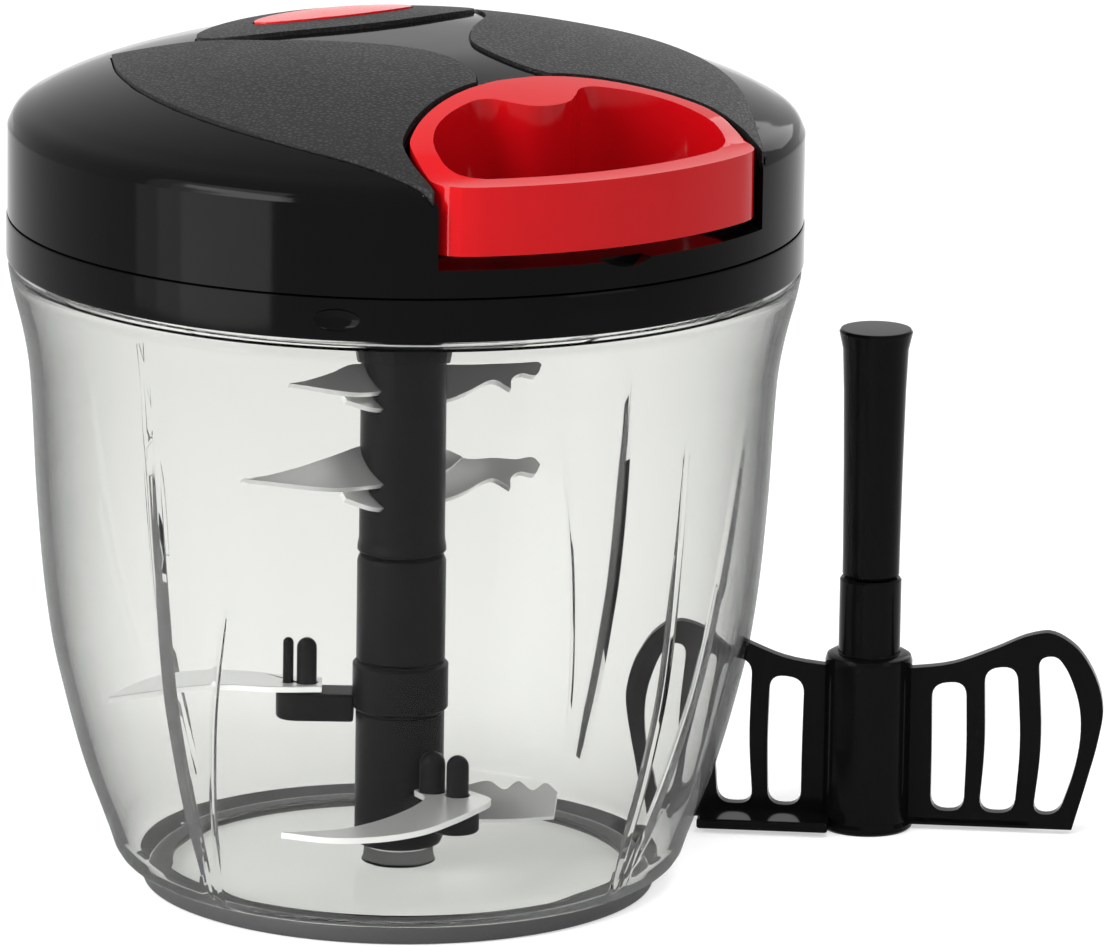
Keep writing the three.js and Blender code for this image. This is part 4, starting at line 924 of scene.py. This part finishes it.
def makeHousing():
    size, pocket = lidSizes, pocketSizes
    foot, over = size["housingFoot"], size["over"]
    bm = domeLayer(0, -size["wall"], foot)
    low = pocket["floor"] - pocket["floorThickness"]
    surround = prism(pocketOutline(pocket["wall"]), low, over)
    bm = added(bm, common(surround, domeSolid(-pocket["inset"], foot)))
    bm = cut(bm, prism(pocketOutline(0), pocket["floor"], over))
    bm = cut(bm, notchTool())
    panel = panelLoop(panelSizes["gap"])
    low = size["bedFloor"] - panelSizes["gap"]
    bm = cut(bm, bedTool(panel, low, -panelSizes["bed"]))
    bm = cut(bm, bedTool(mirroredLoop(panel), low, -panelSizes["bed"]))
    bm = cut(bm, bedTool(ovalLoop(capSizes, capSizes["gap"]), size["bedFloor"], -capSizes["bed"]))
    hole = turned(rod(cordSizes["wallBore"], -4, 4), 90, "X")
    bm = cut(bm, moved(hole, 0, cordSizes["wallPlace"], cordSizes["height"]))
    bm = softened(bm, size["round"], 2, 40)
    placePiece("lidHousing", bm, "lid", glossBlack, ("lid_housing",), sharp=34)


def bedTool(loop, low, over):
    # an upright block over the dome, hollowed to the bed's curve
    return cut(prism(loop, low, lidSizes["over"]), domeSolid(over, lidSizes["under"]))


def notchTool():
    # the shallow dip at the middle of the ledge under the handle
    size = pocketSizes
    tool = turned(rod(size["notchRadius"], -3, 3, segments=64), 90, "X")
    rise = size["notchRadius"] - size["notchDepth"]
    return moved(tool, 0, -lidSizes["radius"], size["floor"] + rise)


def makePanels():
    size = panelSizes
    for name, flip in (("left_panel", False), ("right_panel", True)):
        loop = mirroredLoop(panelLoop()) if flip else panelLoop()
        layer = domeLayer(size["proud"], size["proud"] - size["thickness"], lidSizes["under"])
        bm = common(layer, prism(loop, lidSizes["bedFloor"], lidSizes["over"]))
        bm = cut(bm, prism(pocketOutline(size["gap"]), pocketSizes["floor"], lidSizes["over"]))
        bm = softened(bm, size["round"], 3, 40)
        placePiece(name + "Skin", bm, "lid", grainedBlack, (name,), sharp=50)


def makeCapAndBadge():
    cap, badge = capSizes, badgeSizes
    under, low, high = lidSizes["under"], lidSizes["bedFloor"], lidSizes["over"]
    layer = domeLayer(cap["proud"], cap["gap"] - cap["bed"], under)
    bm = common(layer, prism(ovalLoop(cap), low, high))
    bed = cap["proud"] - badge["depth"]
    bm = cut(bm, bedTool(ovalLoop(badge, badge["gap"]), low, bed))
    bm = softened(bm, cap["round"], 3, 40)
    placePiece("topCap", bm, "lid", grainedBlack, ("top_cap",), sharp=50)
    layer = domeLayer(cap["proud"] + badge["proud"], bed + badge["gap"], under)
    bm = common(layer, prism(ovalLoop(badge), low, high))
    bm = softened(bm, badge["round"], 3, 40)
    placePiece("topBadge", bm, "lid", badgeRed, ("badge",), sharp=50)


makeLidBase()
print("band made")
makeHousing()
print("housing made")
makePanels()
makeCapAndBadge()
print("lid made")


# Pull handle and its cord

def makeHandle():
    size = handleSizes
    low, high = size["bottom"], lidSizes["over"]
    bm = prism(handleOutline(), low, high)
    bm = cut(bm, prism(handleHole(), low - 1, high + 1))
    bm = common(bm, handleTop())
    bm = softened(bm, size["round"], 4, 40)
    bore = turned(rod(cordSizes["handleBore"], 0, 12, segments=24), -90, "X")
    bm = cut(bm, moved(bore, 0, size["bossCentre"], cordSizes["height"]))
    placePiece("handleRing", bm, "handle", handleRed, ("pull_handle",), sharp=50)


def makeCordStretch():
    # one short run of cord at rest
    size = cordSizes
    bm = turned(rod(size["radius"], *size["span"], segments=16), -90, "X")
    lengthwise = [e for e in bm.edges if abs(e.verts[0].co.y - e.verts[1].co.y) > 1]
    bmesh.ops.subdivide_edges(bm, edges=lengthwise, cuts=size["pieces"], use_grid_fill=True)
    moved(bm, 0, 0, size["height"])
    piece = placePiece("cordStretch", bm, None, cordBraid)
    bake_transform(piece)


makeHandle()
makeCordStretch()
print("handle made")


# Blade set: hub, collar, lower and upper shaft, and seven steel blades

shaftSizes = {
    "hub": [
        (3.3, 6.2), (6.3, 6.2), (7.1, 6.5), (7.5, 7.4), (7.5, 28.9), (7.2, 29.2), (0, 29.2),
        (0, 21.4), (3.3, 21.2),
    ],
    "collar": [(7.6, 29.5), (8.1, 30.0), (8.1, 37.3), (7.6, 37.8), (5.1, 37.8), (5.1, 29.5)],
    "lower": [
        (0, 38.1), (7.1, 38.1), (7.5, 38.5), (7.5, 55.2), (7.15, 56.1), (6.6, 56.4), (0, 56.4),
    ],
    "upper": [
        (0, 56.7), (7.0, 56.7), (7.5, 57.1), (7.5, 57.7), (7.35, 58.6), (7.25, 59.2), (7.2, 91.0),
        (6.75, 91.7), (6.25, 91.8), (0, 91.8),
    ],
    # half widths along X and Y, bottom and top
    "core": (3.6, 3.6, 23.0, 38.6), "spigot": (3.2, 3.2, 55.9, 63.9),
    "socket": (3.5, 3.5, 56.0, 64.2), "dog": (5.8, 1.7, 90.8, 107.0), "dogAngle": 20,
    "squareRound": 0.4, "dogRound": 0.5, "slotRound": 0.22,
}
# posts: place along the arm, across it, radius
armSizes = {
    "long": {
        "width": 7.0, "angle": 146, "bottom": 27.6, "end": 21.0, "start": 7.8, "top": 41.4,
        "posts": ((15.8, 0, 1.7), (18.93, 0, 0.9)),
    },
    "short": {
        "width": 8.0, "angle": -84, "bottom": 11.4, "end": 19.0, "start": 3.8, "top": 24.4,
        "posts": ((10.4, -1.3, 2.2), (15.0, 0.4, 1.9)),
    },
}
armStock = {"thickness": 4.8, "postFoot": 4, "round": 0.5}


def armTongue(arm):
    # a tongue with two rounded posts that hold a blade's root
    half = arm["width"] / 2
    bottom, start, centre = arm["bottom"], arm["start"], arm["end"] - half
    arc = [(centre + x, y) for x, y in ringPlaces(half, range(-90, 91, 15))]
    bm = prism([(start, -half)] + arc + [(start, half)], bottom, bottom + armStock["thickness"])
    bm = softened(bm, armStock["round"], 3)
    foot = bottom + armStock["postFoot"]
    for x, y, radius in arm["posts"]:
        dome = [(r, arm["top"] - radius + z) for r, z in ringPlaces(radius, range(0, 76, 15))]
        profile = [(0, foot), (radius, foot)] + dome + [(0, arm["top"])]
        bm = joined(bm, moved(spunSolid(profile, 32, False), x, y, 0))
    return turned(bm, arm["angle"])


def makeShaft():
    size = shaftSizes
    arms = (
        ("bladeHub", "hub", "short", "lower_hub"), ("bladeCollar", "collar", "long", "arm_collar"),
    )
    for name, section, arm, node in arms:
        bm = joined(spunSolid(size[section], 96), armTongue(armSizes[arm]))
        placePiece(name, bm, "blades", shaftBlack, (node,))
    squares = [
        softened(pillar(*size[name]), size["squareRound"], 2) for name in ("core", "spigot")
    ]
    bm = joined(spunSolid(size["lower"], 96, False), *squares)
    placePiece("shaftLower", bm, "blades", shaftBlack, ("lower_shaft",))
    bm = cut(spunSolid(size["upper"], 96, False), pillar(*size["socket"]))
    for blade in bladeSizes.values():
        if blade["outline"] in ("hooked", "toothed"):
            bm = cut(bm, bladeMesh(blade, bladeStock["slotGap"], 0))
    dog = softened(pillar(*size["dog"]), size["dogRound"], 3)
    bm = joined(softened(bm, size["slotRound"], 2), turned(dog, size["dogAngle"]))
    placePiece("shaftUpper", bm, "blades", shaftBlack, ("upper_shaft",))


# Blade outlines run along the blade, then across it, tip to the right; a 1 marks a sharp corner.
bladeSizes = {
    "upper_hooked_blade": {
        "outline": "hooked", "stretch": 0.72, "widen": 0.85, "angle": 175, "height": 87.6,
        "pitch": -37,
    },
    "upper_toothed_blade": {
        "outline": "toothed", "widen": 0.9, "angle": 2, "height": 84.4, "pitch": 37,
    },
    "middle_hooked_blade": {"outline": "hooked", "angle": 175, "height": 72.0, "pitch": -37},
    "middle_toothed_blade": {"outline": "toothed", "angle": 2, "height": 67.4, "pitch": 37},
    "long_blade": {"outline": "long", "angle": 146, "height": 33.2, "arm": "long"},
    "crescent_blade": {"outline": "crescent", "angle": -84, "height": 17.0, "arm": "short"},
    "serrated_blade": {"outline": "serrated", "angle": -38, "height": 13.5, "pitch": 45},
}
bladeStock = {
    "half": 0.5, "bevel": 0.8, "bevelFrom": 11, "bevelAbove": 0.6, "slotGap": 0.25,
    "postGap": 0.25,
}
bladeOutlines = {
    "hooked": [
        (-11, 0.4, 1), (-9.1, -1.3), (0, -3.6), (6.4, -4.3), (10.5, -3.3), (19.1, -1.2), (25, -0.2),
        (30.2, 0.1, 1), (26, 1.2), (20.9, 2.7), (13.9, 4.3), (7, 4.5), (0, 4.3), (-7.4, 2.7),
    ],
    "toothed": [
        (-12, -0.5, 1), (-8, -3.2), (0, -4), (7.1, -3.7), (12, -2.6), (15.5, -1.4), (17.9, -1.1),
        (20.1, -3.6, 1), (21.5, -1.4), (24, -0.6), (26.2, -1.5), (28.6, 0.4, 1), (28.3, 1.9),
        (24.5, 2.3), (20.5, 3.4), (16, 3.9), (12.4, 5.4), (7, 5.5), (-8, 3.8), (-12, 1, 1),
    ],
    "long": [
        (13.2, -3, 1), (20, -4.4), (26, -6.6), (33, -6.8), (40.5, -3), (45, 3.4),
        (48.4, 12.2, 1), (42.5, 8.6), (36, 4.6), (29, 2.6), (22, 3.6), (13.2, 3, 1),
    ],
    "crescent": [
        (8.2, -3.4, 1), (12.5, -4.6), (15.6, -9), (18, -15), (19.6, -21.5), (19.8, -28),
        (15.5, -37.4, 1), (23.4, -32.6), (27.4, -25.6), (28.2, -18), (26.2, -10), (23.4, -2.6),
        (20.2, 3.4), (14, 3.8), (8.2, 3.4, 1),
    ],
    "serrated": [
        (4.6, -2.8, 1), (11, -3.6), (18, -3.5), (26.4, -2.6, 1), (26.8, 2.2, 1), (24.6, 3.9),
        (22.6, 2.4), (20, 4.1), (17.8, 2.4), (15.2, 3.9), (11, 3), (4.6, 3, 1),
    ],
}


def bladeMesh(blade, clearance, ground):
    loop = smoothLine(bladeOutlines[blade["outline"]], 5, closed=True)
    loop = [(x * blade.get("stretch", 1), y * blade.get("widen", 1)) for x, y in loop]
    if clearance:
        loop = offsetLoop(loop, clearance)
    half = bladeStock["half"] + clearance
    bm = prism(loop, -half, half)
    if "arm" in blade:
        for x, y, radius in armSizes[blade["arm"]]["posts"]:
            bm = cut(bm, rod(radius + bladeStock["postGap"], -2, 2, x, y, 24))
    if ground:
        upper = [
            e for e in bm.edges
            if min(v.co.z for v in e.verts) > half - 0.01 and e.is_manifold
            and e.calc_face_angle(0) > bladeStock["bevelAbove"]
            and max(v.co.x for v in e.verts) > bladeStock["bevelFrom"]
        ]
        bevelled(bm, upper, ground, 1, False)
    turned(bm, blade.get("pitch", 0), "X")
    turned(bm, blade["angle"])
    return moved(bm, 0, 0, blade["height"])


def makeBlades():
    for name, blade in bladeSizes.items():
        bm = bladeMesh(blade, 0, bladeStock["bevel"])
        placePiece(name + "Steel", bm, "blades", bladeSteel, (name,), sharp=20)


makeShaft()
makeBlades()
print("blade set made")


# Mixing paddle beside the bowl

paddleSizes = {
    "x": 86.2, "y": -15.3, "angle": -39, "key": (2.4, 2.4, 36.6, 45.6),
    "stem": [
        (0, 44.6), (4.6, 44.6), (4.9, 45.0), (4.92, 48.94), (5.1, 64.13), (5.35, 77.15),
        (5.65, 84.528), (6.2, 86.915), (6.3, 87.5), (6.0, 87.95), (5.6, 88.0), (0, 88.0),
    ],
    "head": [
        (2.9, 0), (7.6, 0), (8.0, 0.4), (8.0, 1.1), (7.5, 1.7), (7.5, 29.7), (7.2, 30.6),
        (6.5, 31.0), (5.5, 31.0), (5.3, 31.3), (5.3, 43.9), (5.0, 44.3), (2.9, 44.3),
    ],
    "wing": 2.4, "wingBottom": 0.8, "round": 0.55,
    "ledges": (3.4, 9.5), "ledgeSpan": (6, 28.6), "ledgeThickness": 1.8, "ledgeRound": 0.5,
}
wingOutline = [
    (5, 0, 1), (35.6, 0, 1), (38.1, 9.2), (39.8, 16.2), (40.5, 21.5), (38.5, 28.5), (35.1, 32.9),
    (30.9, 34.9), (28.3, 34.5), (21.5, 31.6), (14.6, 28.9), (5, 27.5, 1),
]
# the slots' corners as place, height and rounding
wingSlots = [
    [
        (11.2, 2.6, 2.6), (16.9, 2.6, 2.6), (17.2, 14, 4), (16.9, 25.8, 2.6), (11, 25.2, 2.6),
        (11.2, 14, 4),
    ],
    [
        (19.5, 2.6, 2.6), (25.6, 2.6, 2.6), (26.5, 15, 5), (25.6, 28.8, 2.6), (20, 28.2, 2.6),
        (20.4, 14, 5),
    ],
    [
        (28.8, 2.6, 2.2), (33.2, 2.6, 2.4), (36.3, 11.8, 5), (37, 20.6, 5), (34.8, 27.6, 4),
        (32.4, 30.9, 1.4), (29.2, 30.4, 2), (30.2, 15, 6),
    ],
]


def roundedLoop(corners, steps=6):
    # each corner becomes a short curve between its two straight sides
    loop = []
    for k, (x, y, reach) in enumerate(corners):
        here = Vector((x, y))
        before = Vector(corners[k - 1][:2]) - here
        after = Vector(corners[(k + 1) % len(corners)][:2]) - here
        start = here + before.normalized() * min(reach, 0.5 * before.length)
        end = here + after.normalized() * min(reach, 0.5 * after.length)
        for step in range(steps + 1):
            t = step / steps
            loop.append(tuple((1 - t) ** 2 * start + 2 * t * (1 - t) * here + t * t * end))
    return loop


def wingMesh(ledgeReach):
    size = paddleSizes
    half = size["wing"] / 2
    bm = prism(smoothLine(wingOutline, 5, closed=True), -half, half)
    for slot in wingSlots:
        bm = cut(bm, prism(roundedLoop(slot), -3, 3))
    bm = softened(bm, size["round"], 3, 45)
    turned(bm, 90, "X")
    moved(bm, 0, 0, size["wingBottom"])
    start, end = size["ledgeSpan"]
    low = size["wingBottom"]
    ledge = block((start, -half, low), (end, ledgeReach, low + size["ledgeThickness"]))
    return joined(bm, softened(ledge, size["ledgeRound"], 3))


def makePaddle():
    size = paddleSizes
    near, far = size["ledges"]
    stem = joined(spunSolid(size["stem"], 96, False), pillar(*size["key"]))
    head = joined(spunSolid(size["head"], 96), wingMesh(near), turned(wingMesh(far), 180))
    pieces = (("paddleStemTube", "paddle_stem", stem), ("paddleHeadWings", "paddle_head", head))
    for name, node, bm in pieces:
        moved(turned(bm, size["angle"]), size["x"], size["y"], 0)
        placePiece(name, bm, "paddle", paddleBlack, (node,), sharp=34)


makePaddle()
print("paddle made")


# Parts inside the lid keep their solids and get their own finish

innerFinishes = {
    "lid_seal": sealRubber, "cord_eyelet": plainSteel, "cord_run": cordBraid,
    "cord_knot": cordBraid, "cord_winding": cordBraid, "spring_case": whiteNylon,
    "power_spring": plainSteel, "spindle": plainSteel, "hub_bush": whiteNylon,
    "cord_spool": whiteNylon, "drive_hub": shaftBlack, "pawl_1": plainSteel,
    "pawl_2": plainSteel,
}
for kind, count in (("housing", 4), ("case", 3)):
    for number in range(count):
        innerFinishes[f"{kind}_screw_{number + 1}"] = plainSteel

for node, finish in innerFinishes.items():
    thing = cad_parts[node]
    thing.data.materials.clear()
    thing.data.materials.append(finish)
    thing.data.shade_smooth()
    thing.data.set_sharp_from_angle(angle=math.radians(30))


# Studio: pale floor, white surround and soft lamps

studio = {
    "floorRadius": 4.0, "floor": (0.6, 0.6, 0.6, 1), "lifts": (0.6, 1.8, 0.5, 0.9),
    "surround": 1.0, "fill": 0.5,
    "lamps": [
        # name, bearing in degrees, distance, height and aim in metres, size, brightness and
        # whether gloss shows it
        ("leftBoxNear", 188, 0.42, 0.27, 0.27, (0.2, 0.5), 2.6, True),
        ("leftBoxMiddle", 184, 0.42, 0.27, 0.27, (0.26, 0.5), 1.9, True),
        ("leftBoxFar", 180, 0.42, 0.27, 0.27, (0.32, 0.5), 1.9, True),
        ("rightBackBox", 24, 0.8, 0.58, 0.3, (0.35, 0.66), 2.0, True),
        ("glintBox", 186, 0.55, 0.45, 0.12, (0.34, 0.06), 14.0, True),
        ("highGlint", -80, 0.35, 1.3, 0.1, (0.3, 0.16), 22.0, True),
        ("frontBox", -68, 0.6, 0.33, 0.33, (0.22, 0.6), 1.6, True),
        ("topBox", -100, 0.3, 1.4, 0.1, (0.9, 0.7), 3.2, False),
    ],
}


def seenBackdrop(tree):
    # 1 for rays that show the backdrop to the eye, in metal or through glass too
    path = newNode(tree, "LightPath").outputs
    seen = mathNode(tree, "MAXIMUM", path["Is Camera Ray"], path["Is Glossy Ray"])
    return mathNode(tree, "MAXIMUM", seen, path["Is Transmission Ray"])


def makeFloor():
    bm = bmesh.new()
    bmesh.ops.create_circle(bm, cap_ends=True, segments=96, radius=studio["floorRadius"])
    mesh = meshOf(bm, "studioFloor")
    floor = inScene("studioFloor", mesh)
    material, tree, shader = newMaterial("paleFloor")
    feed(tree, shader, Base_Color=studio["floor"], Roughness=0.9, Specular_IOR_Level=0.1)
    # the lamps reach less of the far floor, so that it is lifted more
    away = newNode(tree, "VectorMath", objectPlace(tree))
    away.operation = "LENGTH"
    lift = rangeNode(tree, away.outputs["Value"], *studio["lifts"])
    shown = mathNode(tree, "MULTIPLY", seenBackdrop(tree), lift)
    glow = newNode(tree, "Emission", Strength=shown)
    both = newNode(tree, "AddShader", shader.outputs[0], glow.outputs[0])
    # from below the floor isn't seen
    under = newNode(tree, "NewGeometry").outputs["Backfacing"]
    finishWith(tree, mixShaders(tree, under, both, newNode(tree, "BsdfTransparent")))
    mesh.materials.append(material)


def makeWorld():
    world = bpy.data.worlds.new("studioWorld")
    world.use_nodes = True
    tree = world.node_tree
    strength = rangeNode(tree, seenBackdrop(tree), 0.0, 1.0, studio["fill"], studio["surround"])
    feed(tree, tree.nodes["Background"], Color=(1, 1, 1, 1), Strength=strength)
    bpy.context.scene.world = world


def makeLamps():
    for name, bearing, distance, height, aim, size, brightness, glossy in studio["lamps"]:
        data = bpy.data.lights.new(name, "AREA")
        data.shape = "RECTANGLE"
        data.size, data.size_y = size
        data.energy = brightness * math.pi * size[0] * size[1]
        lamp = inScene(name, data)
        turn = math.radians(bearing)
        place = Vector((distance * math.cos(turn), distance * math.sin(turn), height))
        lamp.location = place
        lamp.rotation_euler = (Vector((0, 0, aim)) - place).to_track_quat("-Z", "Y").to_euler()
        lamp.visible_camera = False
        lamp.visible_glossy = glossy


makeFloor()
makeWorld()
makeLamps()
bpy.context.scene.view_settings.view_transform = "Standard"
print("studio made")
